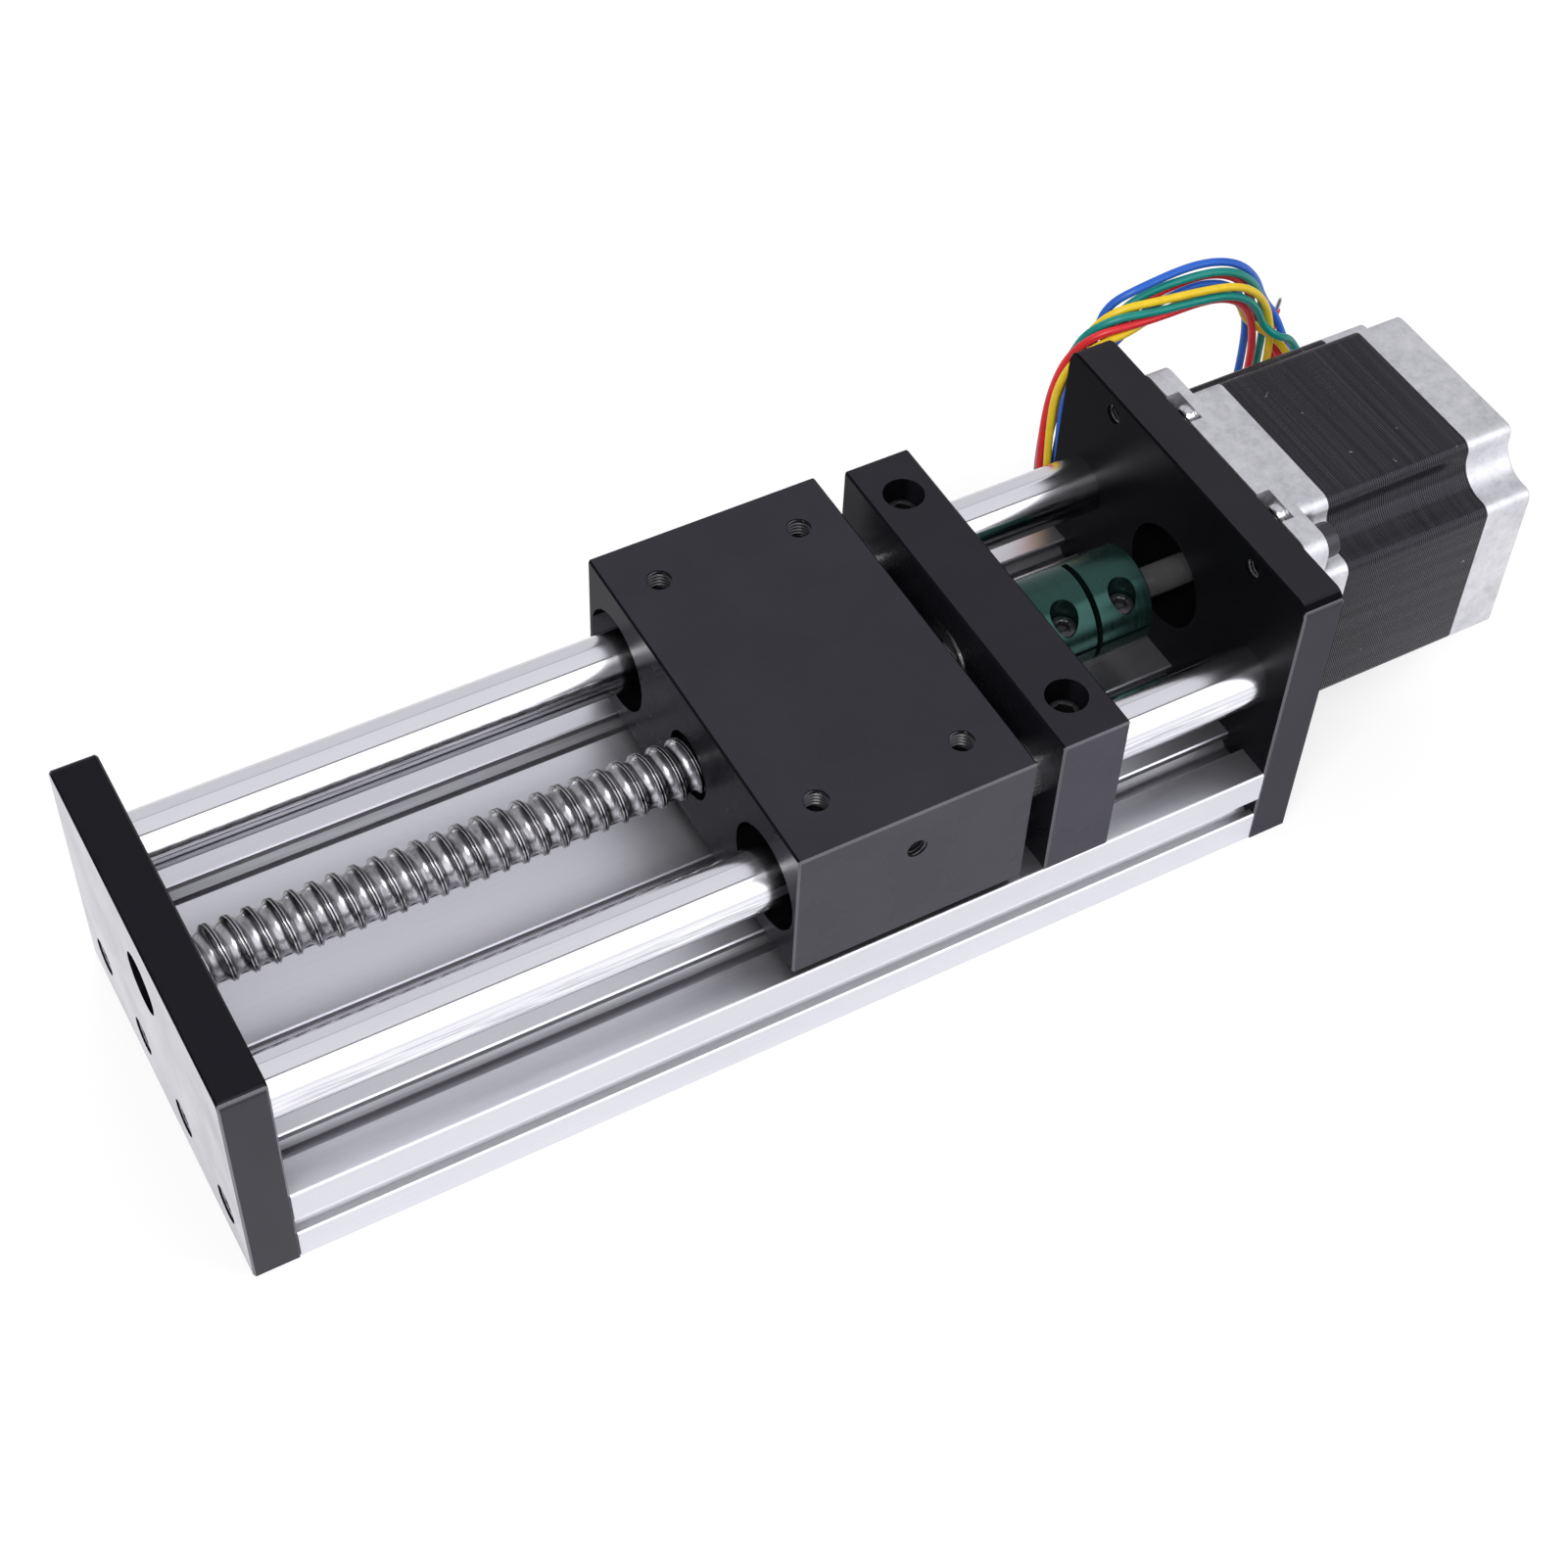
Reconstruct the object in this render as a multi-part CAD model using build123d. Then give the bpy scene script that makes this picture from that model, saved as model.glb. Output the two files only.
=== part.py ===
from build123d import *
import math
import os

# Ball screw linear module: a motor turns a ball screw, and the screw drives a carriage along two guide rods.
# X runs from the end plate to the motor, Z is up, and the origin is under the middle of the module.
# Sizes are in millimetres.

# Overall layout along X, from the end plate to the back of the motor
PLATE_W = 80.0
END_T = 9.0
END_H = 54.5
BASE_L = 204.0
BASE_H = 20.0
BLOCK_T = 14.3
BLOCK_H = 55.5
COUPLING_BAY = 36.7
MOTOR_PLATE_T = 9.0
MOTOR_PLATE_H = 67.0
MOTOR_L = 56.0
AXIS_Z = 39.0
CARRIAGE_L = 49.0
CARRIAGE_TOP = 56.0
CARRIAGE_GAP = 3.5
REST_GAP = 6.3

# Clearances
SLIDE_FIT = 0.05
SEAT_FIT = 0.02
THREAD_FIT = 0.04
RUN_GAP = 0.3
EDGE_BREAK = 0.4
END_CORNER_R = 1.8
MOTOR_PLATE_CORNER_R = 3.2

# Extruded base with T slots at a 20 mm pitch
SLOT_PITCH = 20.0
SLOT_W = 4.6
SLOT_LIP = 1.6
SLOT_INNER_W = 8.0
SLOT_DEPTH = 4.6
SLOT_FLANK = 1.2
SLOT_FLOOR_W = 4.6
SLOT_MOUTH_BREAK = 0.3
BASE_CORNER_R = 0.6
CORE_R = 2.0
CELL_W = 8.0
CELL_WALL = 2.2
CELL_CORNER_R = 1.0

# Guide rods and the linear bearings that run on them
ROD_R = 6.0
ROD_Y = 29.25
ROD_SEAT = 6.0
ROD_CHAMFER = 0.6
SLEEVE_R = 10.5
SLEEVE_SIDE_WALL = 1.25
SLEEVE_L = 30.0
SLEEVE_WALL = 2.0
SLEEVE_GROOVE_W = 1.3
SLEEVE_GROOVE_D = 0.5
SLEEVE_GROOVE_PITCH = 23.0
END_SEAL_T = 1.5
RETAINER_T = 1.2
RETAINER_D = 0.5
RETAINER_RADIAL = 1.6
RETAINER_OPENING = 6.0

# Ball screw and nut
SCREW_R = 5.75
JOURNAL_R = 4.0
SCREW_BORE_R = 7.0
NUT_R = 11.0
NUT_L = 35.0
NUT_FLANGE_R = 18.0
NUT_FLANGE_T = 8.0
NUT_FLAT_H = 30.0
NUT_RECESS = 0.3
NUT_BORE_GAP = 0.2
WIPER_R = 7.6
WIPER_T = 2.2
INSERT_L = 9.0
INSERT_W = 4.0
INSERT_DEPTH = 3.2
INSERT_PITCH = 8.0
INSERT_COUNT = 3
NUT_SCREW_CIRCLE_R = 14.5

# Sealed bearings that carry the screw
BEARING_R = 9.5
BEARING_W = 6.0
RING_T = 1.45
BEARING_SEAL_T = 0.5
BEARING_SEAL_INSET = 0.35
END_HOLE_R = 6.0
BLOCK_LIP_R = 8.2
COLLAR_R = 6.5
COLLAR_GAP = 0.1
COUPLING_GAP = 2.5

# Clamping coupling
COUPLING_R = 10.0
COUPLING_L = 25.0
SLIT_W = 1.3
SLIT_BRIDGE = 5.0
CLAMP_SLOT_W = 1.0
CLAMP_OFFSET = 6.0
CLAMP_PITCH = 13.2
CLAMP_POCKET_R = 2.9
CLAMP_HEAD_TOP = 5.2

# Stepping motor with a 56.4 mm square face
MOTOR_W = 56.4
MOTOR_HOLE_PITCH = 47.14
MOTOR_HOLE_R = 2.55
FLANGE_T = 5.0
FLANGE_CORNER_R = 3.5
FRONT_CAP_L = 11.5
REAR_CAP_L = 11.0
FLUTE_W = 9.3
FLUTE_R = 6.0
FLUTE_EDGE_R = 2.4
CAP_RIM_BREAK = 0.7
PILOT_R = 19.05
PILOT_H = 1.6
PILOT_CLEARANCE = 0.15
PLATE_HOLE_R = 11.0
MOTOR_SHAFT_R = 3.175
SHAFT_IN_COUPLING = 11.0
ROTOR_R = 14.6
STATOR_BORE_R = 15.0
ROTOR_INSET = 1.0
CAP_CAVITY_R = 25.0
FRONT_CAVITY_L = 3.5
REAR_CAVITY_L = 5.0
WINDING_INNER_R = 16.5
WINDING_OUTER_R = 24.0
WINDING_GAP = 0.6
MOTOR_BEARING_R = 7.94
MOTOR_BEARING_W = 4.98
WINDOW_Y = 15.2
WINDOW_W = 8.2
WINDOW_X = 2.8
WINDOW_Z = 6.6
THROUGH_SCREW_INSET = 3.3

# Motor lead outlet and the loop in which the four leads are put away
GROMMET_W = 6.0
GROMMET_H = 11.0
GROMMET_SEAT = 1.6
GROMMET_PROUD = 2.0
LEAD_R = 0.85
LEAD_PITCH = 2.1
LEAD_RUN = 6.0
LEAD_NAMES = ("red", "blue", "yellow", "teal")
COIL_TUBE_R = 4.3
COIL_BEND_R = 18.0
COIL_HALF_W = 25.5
COIL_HALF_H = 31.2
COIL_FLOOR_GAP = 0.4
COIL_PLATE_GAP = 0.05
COIL_FROM_MOTOR_BACK = 37.5

# Screws: half the thread, half the head, head height, half the key width, key depth
M3 = (1.5, 2.75, 3.0, 1.25, 1.5)
M4 = (2.0, 3.5, 4.0, 1.5, 2.0)
HEAD_GAP = 0.25
END_SCREW_L = 16.0
BLOCK_SCREW_GRIP = 8.0
BLOCK_SCREW_Y = 30.0
MOTOR_SCREW_L = 12.0
NUT_SCREW_L = 12.0
SET_SCREW_R = 4.0
SET_SCREW_L = 6.0
SET_HOLE_GAP = 0.15
SET_KEY_R = 2.0
SET_KEY_DEPTH = 3.0

# Tapped holes on the carriage, bored at the tapping drill; those on its sides reach the linear bearings
TABLE_PITCH_X = 30.0
TABLE_PITCH_Y = 60.0
TABLE_HOLE_R = 2.5
TABLE_HOLE_DEPTH = 4.8
TABLE_HOLE_TIP = 0.9
TABLE_HOLE_BREAK = 0.5
SIDE_HOLE_R = 2.1
SIDE_HOLE_DROP = 10.0

# Positions that follow from the sizes above
CARRIAGE_W = 2 * (ROD_Y + SLEEVE_R + SLEEVE_SIDE_WALL)
TOTAL_L = END_T + BASE_L + MOTOR_PLATE_T + MOTOR_L
X_END = -TOTAL_L / 2
X_BASE = X_END + END_T
X_PLATE = X_BASE + BASE_L
X_MOTOR = X_PLATE + MOTOR_PLATE_T
X_BACK = X_MOTOR + MOTOR_L
X_BLOCK_1 = X_PLATE - COUPLING_BAY
X_BLOCK_0 = X_BLOCK_1 - BLOCK_T
X_CAR_1 = X_BLOCK_0 - REST_GAP
X_CAR_0 = X_CAR_1 - CARRIAGE_L
X_CAR = (X_CAR_0 + X_CAR_1) / 2
X_SLEEVE_0 = X_CAR - SLEEVE_L / 2
X_SLEEVE_1 = X_CAR + SLEEVE_L / 2
X_NUT_1 = X_CAR_1 - NUT_RECESS
X_NUT_FLANGE = X_NUT_1 - NUT_FLANGE_T
X_NUT_0 = X_NUT_1 - NUT_L
X_COUPLING_0 = X_BLOCK_1 + COUPLING_GAP
X_COUPLING_1 = X_COUPLING_0 + COUPLING_L
X_SLIT = (X_COUPLING_0 + X_COUPLING_1) / 2
X_FRONT_CAP = X_MOTOR + FRONT_CAP_L
X_REAR_CAP = X_BACK - REAR_CAP_L
X_LEADS = X_REAR_CAP + REAR_CAP_L / 2
CARRIAGE_BOTTOM = BASE_H + CARRIAGE_GAP
MOTOR_HALF = MOTOR_W / 2
JOURNAL_END = X_END + END_T - BEARING_W + 2
BEARING_STARTS = (X_BASE - BEARING_W, X_BLOCK_0, X_BLOCK_1 - BEARING_W)
THROUGH_SCREW_Z = MOTOR_HALF - THROUGH_SCREW_INSET
ROD_SIDES = {"near": -ROD_Y, "far": ROD_Y}
CORE_YS = (-1.5 * SLOT_PITCH, -0.5 * SLOT_PITCH, 0.5 * SLOT_PITCH, 1.5 * SLOT_PITCH)
CORE_Z = BASE_H / 2
THROUGH = 1.0


def along_x(radius, x0, x1, y=0.0, z=AXIS_Z):
    """Round bar along X between two stations."""
    return Pos((x0 + x1) / 2, y, z) * Rot(0, 90, 0) * Cylinder(radius, x1 - x0)


def along_y(radius, y0, y1, x, z):
    """Round bar along Y."""
    return Pos(x, (y0 + y1) / 2, z) * Rot(90, 0, 0) * Cylinder(radius, y1 - y0)


def along_z(radius, z0, z1, x, y):
    """Round bar along Z."""
    return Pos(x, y, (z0 + z1) / 2) * Cylinder(radius, z1 - z0)


def tube_x(outer, inner, x0, x1, y=0.0, z=AXIS_Z):
    """Round ring along X."""
    return along_x(outer, x0, x1, y, z) - along_x(inner, x0 - THROUGH, x1 + THROUGH, y, z)


def brick(x0, x1, y0, y1, z0, z1):
    """Rectangular block between two corners."""
    return Pos((x0 + x1) / 2, (y0 + y1) / 2, (z0 + z1) / 2) * Box(x1 - x0, y1 - y0, z1 - z0)


def extrude_x(sketch, x0, x1):
    """A sketch drawn in Y and Z, made solid between two stations."""
    return extrude(Plane.YZ.offset(x0) * sketch, amount=x1 - x0)


def mouth(radius, amount):
    """Bevel round the mouth of a hole that opens upwards at the origin."""
    return Cone(radius - amount, radius + amount, 2 * amount)


def group(solids):
    """Separate solids that share one node."""
    return Compound(children=[part for solid in solids for part in solid.solids()])


def cap_screw(size, length):
    """Socket cap screw: the seat under its head is at the origin and its shank runs along +X."""
    thread_r, head_r, head_h, key_r, key_depth = size
    head = Rot(0, 90, 0) * Pos(0, 0, -head_h / 2) * Cylinder(head_r, head_h)
    shank = Rot(0, 90, 0) * Pos(0, 0, length / 2) * Cylinder(thread_r - THREAD_FIT, length)
    key = extrude(Plane.YZ.offset(-head_h) * RegularPolygon(key_r, 6, major_radius=False), amount=key_depth)
    return head + shank - key


def counterbore_x(size, x_seat, outward, reach, y, z):
    """Hole along X for a cap screw: the head's bore on the outward side of its seat, the shank's beyond it."""
    thread_r, head_r, head_h, _, _ = size
    mouth = x_seat + outward * (head_h + THROUGH)
    deep = x_seat - outward * reach
    head = along_x(head_r + HEAD_GAP, min(x_seat, mouth), max(x_seat, mouth), y, z)
    shank = along_x(thread_r + HEAD_GAP, min(x_seat, deep), max(x_seat, deep), y, z)
    return head + shank


def plate_outline(height, corner_r):
    """Upright plate as wide as the base, with its two top corners rounded."""
    outline = Pos(0, height / 2) * Rectangle(PLATE_W, height)
    return fillet(outline.vertices().group_by(Axis.Y)[-1], corner_r)


def broken_edges(solid, amount=EDGE_BREAK):
    """Small bevel round the outline of both faces of a plate that stands across X."""
    ends = solid.faces().sort_by(Axis.X)
    return chamfer(ends[0].edges() + ends[-1].edges(), amount)


def slot_outline():
    """T slot cut from above: its mouth is at the origin, and it opens along +Y of the sketch."""
    mouth = SLOT_W / 2 + SLOT_MOUTH_BREAK
    neck = SLOT_W / 2
    inner = SLOT_INNER_W / 2
    floor = SLOT_FLOOR_W / 2
    half = [
        (mouth, THROUGH),
        (mouth, 0),
        (neck, -SLOT_MOUTH_BREAK),
        (neck, -SLOT_LIP),
        (inner, -SLOT_LIP),
        (inner, -SLOT_LIP - SLOT_FLANK),
        (floor, -SLOT_DEPTH),
    ]
    other = [(-u, v) for u, v in reversed(half)]
    return make_face(Polyline(half + other, close=True))


def base_profile():
    """Extruded base: four T slots above and below, one on each side, and screw cores between them."""
    outline = Pos(0, CORE_Z) * RectangleRounded(PLATE_W, BASE_H, BASE_CORNER_R)
    slot = slot_outline()
    for y in CORE_YS:
        outline -= Pos(y, BASE_H) * slot
        outline -= Pos(y, 0) * Rot(0, 0, 180) * slot
        outline -= Pos(y, CORE_Z) * Circle(CORE_R)
    outline -= Pos(PLATE_W / 2, CORE_Z) * Rot(0, 0, -90) * slot
    outline -= Pos(-PLATE_W / 2, CORE_Z) * Rot(0, 0, 90) * slot
    for y in (-SLOT_PITCH, 0, SLOT_PITCH):
        cell = RectangleRounded(CELL_W, BASE_H - 2 * CELL_WALL, CELL_CORNER_R)
        outline -= Pos(y, CORE_Z) * cell
    base = extrude_x(outline, X_BASE, X_PLATE)
    for y in (-BLOCK_SCREW_Y, BLOCK_SCREW_Y):
        x = (X_BLOCK_0 + X_BLOCK_1) / 2
        base -= along_z(M4[1] + HEAD_GAP, -THROUGH, SLOT_DEPTH, x, y)
        base -= along_z(M4[0] + HEAD_GAP, 0, BASE_H + THROUGH, x, y)
    return base


def end_plate():
    """Plate that holds the free ends of the rods and the screw's end bearing."""
    plate = broken_edges(extrude_x(plate_outline(END_H, END_CORNER_R), X_END, X_BASE))
    plate -= along_x(BEARING_R + SEAT_FIT, X_BASE - BEARING_W, X_BASE + THROUGH)
    plate -= along_x(END_HOLE_R, X_END - THROUGH, X_BASE)
    for y in ROD_SIDES.values():
        plate -= along_x(ROD_R + SEAT_FIT, X_BASE - ROD_SEAT, X_BASE + THROUGH, y)
    for y in CORE_YS:
        plate -= counterbore_x(M4, X_END + M4[2] + RUN_GAP, -1, END_T, y, CORE_Z)
    return plate


def bearing_block():
    """Block that holds the screw's two fixed bearings and clamps the rods."""
    outline = Pos(0, (BASE_H + BLOCK_H) / 2) * Rectangle(PLATE_W, BLOCK_H - BASE_H)
    outline = chamfer(outline.vertices(), EDGE_BREAK)
    block = broken_edges(extrude_x(outline, X_BLOCK_0, X_BLOCK_1))
    block -= along_x(BLOCK_LIP_R, X_BLOCK_0 - THROUGH, X_BLOCK_1 + THROUGH)
    for x in BEARING_STARTS[1:]:
        block -= along_x(BEARING_R + SEAT_FIT, x, x + BEARING_W)
    x = (X_BLOCK_0 + X_BLOCK_1) / 2
    for y in ROD_SIDES.values():
        block -= along_x(ROD_R + SEAT_FIT, X_BLOCK_0 - THROUGH, X_BLOCK_1 + THROUGH, y)
        block -= along_z(SET_SCREW_R + SET_HOLE_GAP, AXIS_Z, BLOCK_H + THROUGH, x, y)
        block -= Pos(x, y, BLOCK_H) * mouth(SET_SCREW_R + SET_HOLE_GAP, EDGE_BREAK)
    for y in (-BLOCK_SCREW_Y, BLOCK_SCREW_Y):
        block -= along_z(M4[0], BASE_H - THROUGH, BASE_H + BLOCK_SCREW_GRIP + THROUGH, x, y)
    return block


def motor_plate():
    """Tall plate between the base and the motor."""
    plate = broken_edges(extrude_x(plate_outline(MOTOR_PLATE_H, MOTOR_PLATE_CORNER_R), X_PLATE, X_MOTOR))
    plate -= along_x(PLATE_HOLE_R, X_PLATE - THROUGH, X_MOTOR + THROUGH)
    recess = PILOT_H + PILOT_CLEARANCE
    plate -= along_x(PILOT_R + PILOT_CLEARANCE, X_MOTOR - recess, X_MOTOR + THROUGH)
    for y in ROD_SIDES.values():
        plate -= along_x(ROD_R + SEAT_FIT, X_PLATE - THROUGH, X_PLATE + ROD_SEAT, y)
    for y, z in motor_corners():
        plate -= along_x(M4[0], X_PLATE - THROUGH, X_MOTOR + THROUGH, y, z)
    for y in CORE_YS:
        plate -= counterbore_x(M4, X_MOTOR - M4[2] - RUN_GAP, 1, MOTOR_PLATE_T, y, CORE_Z)
    return plate


def motor_corners():
    """The four mounting holes of the motor face."""
    half = MOTOR_HOLE_PITCH / 2
    return [(y, AXIS_Z + z) for y in (-half, half) for z in (-half, half)]


def motor_screw_corners():
    """The mounting holes that hold a screw: all but the far upper one."""
    return [(y, z) for y, z in motor_corners() if y < 0 or z < AXIS_Z]


def guide_rod(y):
    """Hardened rod that runs from the end plate to the motor plate."""
    rod = along_x(ROD_R, X_BASE - ROD_SEAT, X_PLATE + ROD_SEAT, y)
    return chamfer(rod.edges().filter_by(GeomType.CIRCLE), ROD_CHAMFER)


def ball_screw():
    """Screw between its two shoulders, with a turned journal at each end."""
    thread = along_x(SCREW_R, X_BASE, X_BLOCK_0)
    journals = along_x(JOURNAL_R, JOURNAL_END, X_SLIT - SLIT_W / 2)
    return thread + journals


def bearing_outer_rings():
    """Outer rings of the three bearings on the screw."""
    inner = BEARING_R - RING_T
    return group([tube_x(BEARING_R, inner, x, x + BEARING_W) for x in BEARING_STARTS])


def bearing_inner_rings():
    """Inner rings of the three bearings on the screw."""
    outer = JOURNAL_R + RING_T
    return group([tube_x(outer, JOURNAL_R, x, x + BEARING_W) for x in BEARING_STARTS])


def bearing_seals():
    """Rubber seals pressed into the outer rings, clear of the turning inner rings."""
    seals = []
    for x in BEARING_STARTS:
        for start in (x + BEARING_SEAL_INSET, x + BEARING_W - BEARING_SEAL_INSET - BEARING_SEAL_T):
            inner = JOURNAL_R + RING_T + SLIDE_FIT
            seals.append(tube_x(BEARING_R - RING_T, inner, start, start + BEARING_SEAL_T))
    return group(seals)


def bearing_spacer():
    """Sleeve between the inner rings of the two fixed bearings."""
    return tube_x(JOURNAL_R + RING_T, JOURNAL_R, X_BLOCK_0 + BEARING_W, X_BLOCK_1 - BEARING_W)


def preload_collar():
    """Collar that the coupling presses against the inner ring."""
    return tube_x(COLLAR_R - THROUGH, JOURNAL_R, X_BLOCK_1, X_COUPLING_0 - COLLAR_GAP)


def shaft_coupling():
    """Clamping coupling: a cross slit in the middle, a long slot on its near side, and a clamp screw in each half."""
    hub = along_x(COUPLING_R, X_COUPLING_0, X_COUPLING_1)
    hub = chamfer(hub.edges().filter_by(GeomType.CIRCLE), EDGE_BREAK)
    hub -= along_x(JOURNAL_R, X_COUPLING_0 - THROUGH, X_SLIT)
    hub -= along_x(MOTOR_SHAFT_R, X_SLIT - SLIT_W / 2, X_COUPLING_1 + THROUGH)
    reach = COUPLING_R - SLIT_BRIDGE
    hub -= brick(X_SLIT - SLIT_W / 2, X_SLIT + SLIT_W / 2, -2 * COUPLING_R, reach, 0, 2 * AXIS_Z)
    half_slot = CLAMP_SLOT_W / 2
    hub -= brick(
        X_COUPLING_0 - THROUGH, X_COUPLING_1 + THROUGH, -2 * COUPLING_R, 0, AXIS_Z - half_slot, AXIS_Z + half_slot
    )
    for x in clamp_stations():
        hub -= along_z(CLAMP_POCKET_R, clamp_seat(), AXIS_Z + 2 * COUPLING_R, x, -CLAMP_OFFSET)
        hub -= along_z(M3[0], AXIS_Z - COUPLING_R, clamp_seat() + THROUGH, x, -CLAMP_OFFSET)
    return hub


def clamp_stations():
    """Where the two clamp screws cross the coupling."""
    return (X_SLIT - CLAMP_PITCH / 2, X_SLIT + CLAMP_PITCH / 2)


def clamp_seat():
    """Height of the seats under the clamp screw heads."""
    return AXIS_Z + CLAMP_HEAD_TOP - M3[2]


def clamp_screws():
    """One screw in each half of the coupling, with its head up."""
    length = clamp_seat() - AXIS_Z + COUPLING_R / 2
    screw = Rot(0, 90, 0) * cap_screw(M3, length)
    return group([Pos(x, -CLAMP_OFFSET, clamp_seat()) * screw for x in clamp_stations()])


def carriage_table():
    """Carriage block, bored for two linear bearings and the ball nut."""
    outline = Pos(0, (CARRIAGE_BOTTOM + CARRIAGE_TOP) / 2) * Rectangle(CARRIAGE_W, CARRIAGE_TOP - CARRIAGE_BOTTOM)
    outline = chamfer(outline.vertices(), EDGE_BREAK)
    table = broken_edges(extrude_x(outline, X_CAR_0, X_CAR_1))
    for y in ROD_SIDES.values():
        table -= along_x(SLEEVE_R, X_CAR_0 - THROUGH, X_CAR_1 + THROUGH, y)
        for x in retainer_starts():
            table -= along_x(SLEEVE_R + RETAINER_D, x, x + RETAINER_T, y)
    table -= along_x(SCREW_BORE_R, X_CAR_0 - THROUGH, X_CAR_1)
    table -= along_x(NUT_R + SEAT_FIT, X_NUT_0 - RUN_GAP, X_CAR_1)
    pocket = Circle(NUT_FLANGE_R + RUN_GAP) & Rectangle(4 * NUT_FLANGE_R, NUT_FLAT_H + 2 * RUN_GAP)
    table -= extrude_x(Pos(0, AXIS_Z) * pocket, X_NUT_FLANGE, X_CAR_1 + THROUGH)
    for y, z in nut_screw_places():
        table -= along_x(M3[0], X_NUT_FLANGE - NUT_SCREW_L, X_NUT_FLANGE + THROUGH, y, z)
    for x in (-TABLE_PITCH_X / 2, TABLE_PITCH_X / 2):
        for y in (-TABLE_PITCH_Y / 2, TABLE_PITCH_Y / 2):
            foot = CARRIAGE_TOP - TABLE_HOLE_DEPTH
            table -= along_z(TABLE_HOLE_R, foot, CARRIAGE_TOP + THROUGH, X_CAR + x, y)
            table -= Pos(X_CAR + x, y, foot - TABLE_HOLE_TIP / 2) * Cone(0, TABLE_HOLE_R, TABLE_HOLE_TIP)
            table -= Pos(X_CAR + x, y, CARRIAGE_TOP) * mouth(TABLE_HOLE_R, TABLE_HOLE_BREAK)
    side_z = CARRIAGE_TOP - SIDE_HOLE_DROP
    half = CARRIAGE_W / 2
    table -= along_y(SIDE_HOLE_R, -half - THROUGH, -ROD_Y, X_CAR, side_z)
    table -= along_y(SIDE_HOLE_R, ROD_Y, half + THROUGH, X_CAR, side_z)
    table -= Pos(X_CAR, -half, side_z) * Rot(90, 0, 0) * mouth(SIDE_HOLE_R, EDGE_BREAK)
    table -= Pos(X_CAR, half, side_z) * Rot(-90, 0, 0) * mouth(SIDE_HOLE_R, EDGE_BREAK)
    return table


def retainer_starts():
    """Grooves just outside both ends of a linear bearing."""
    return (X_SLEEVE_0 - RETAINER_T, X_SLEEVE_1)


def retaining_rings():
    """Open rings that hold the linear bearings in the carriage."""
    rings = []
    for y in ROD_SIDES.values():
        for x in retainer_starts():
            ring = tube_x(SLEEVE_R + RETAINER_D, SLEEVE_R + RETAINER_D - RETAINER_RADIAL, x, x + RETAINER_T, y)
            half = RETAINER_OPENING / 2
            rings.append(ring - brick(x - THROUGH, x + RETAINER_T + THROUGH, y - half, y + half, 0, AXIS_Z))
    return group(rings)


def linear_bearing_sleeve(y):
    """Steel sleeve of a linear bearing, with its two outer grooves."""
    sleeve = tube_x(SLEEVE_R, SLEEVE_R - SLEEVE_WALL, X_SLEEVE_0, X_SLEEVE_1, y)
    for x in (X_CAR - SLEEVE_GROOVE_PITCH / 2, X_CAR + SLEEVE_GROOVE_PITCH / 2):
        start = x - SLEEVE_GROOVE_W / 2
        sleeve -= tube_x(2 * SLEEVE_R, SLEEVE_R - SLEEVE_GROOVE_D, start, start + SLEEVE_GROOVE_W, y)
    return sleeve


def bearing_cages():
    """Ball cages inside the two sleeves."""
    outer = SLEEVE_R - SLEEVE_WALL
    return group(
        [
            tube_x(outer, ROD_R + SLIDE_FIT, X_SLEEVE_0 + END_SEAL_T, X_SLEEVE_1 - END_SEAL_T, y)
            for y in ROD_SIDES.values()
        ]
    )


def bearing_end_seals():
    """Rubber lips at both ends of each linear bearing."""
    outer = SLEEVE_R - SLEEVE_WALL
    seals = []
    for y in ROD_SIDES.values():
        for x in (X_SLEEVE_0, X_SLEEVE_1 - END_SEAL_T):
            seals.append(tube_x(outer, ROD_R + SLIDE_FIT, x, x + END_SEAL_T, y))
    return group(seals)


def nut_screw_places():
    """Four screws through the nut flange, on the diagonals."""
    reach = NUT_SCREW_CIRCLE_R / math.sqrt(2)
    return [(y, AXIS_Z + z) for y in (-reach, reach) for z in (-reach, reach)]


def insert_stations():
    """Middles of the ball return inserts along the nut."""
    first = (X_NUT_0 + X_NUT_FLANGE) / 2 - INSERT_PITCH * (INSERT_COUNT - 1) / 2
    return [first + INSERT_PITCH * i for i in range(INSERT_COUNT)]


def insert_blank(x, depth):
    """Pill shape sunk into the top of the nut's barrel."""
    pill = Plane.XY.offset(AXIS_Z + NUT_R - depth) * Pos(x, 0) * Rot(0, 0, 90) * SlotOverall(INSERT_L, INSERT_W)
    return extrude(pill, amount=2 * depth)


def ball_nut():
    """Flanged ball nut with flats, wiper seats, and slots for the return inserts."""
    flange = Circle(NUT_FLANGE_R) & Rectangle(4 * NUT_FLANGE_R, NUT_FLAT_H)
    nut = extrude_x(Pos(0, AXIS_Z) * flange, X_NUT_FLANGE, X_NUT_1)
    nut += along_x(NUT_R, X_NUT_0, X_NUT_FLANGE)
    nut -= along_x(SCREW_R + NUT_BORE_GAP, X_NUT_0 - THROUGH, X_NUT_1 + THROUGH)
    nut -= along_x(WIPER_R, X_NUT_0 - THROUGH, X_NUT_0 + WIPER_T)
    nut -= along_x(WIPER_R, X_NUT_1 - WIPER_T, X_NUT_1 + THROUGH)
    for x in insert_stations():
        nut -= insert_blank(x, INSERT_DEPTH)
    for y, z in nut_screw_places():
        nut -= counterbore_x(M3, X_NUT_1 - M3[2] - RUN_GAP, 1, NUT_FLANGE_T, y, z)
    return nut


def return_inserts():
    """Inserts that lead the balls back over a crest of the screw."""
    barrel = along_x(NUT_R, X_NUT_0, X_NUT_FLANGE)
    return group([insert_blank(x, INSERT_DEPTH) & barrel for x in insert_stations()])


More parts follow.
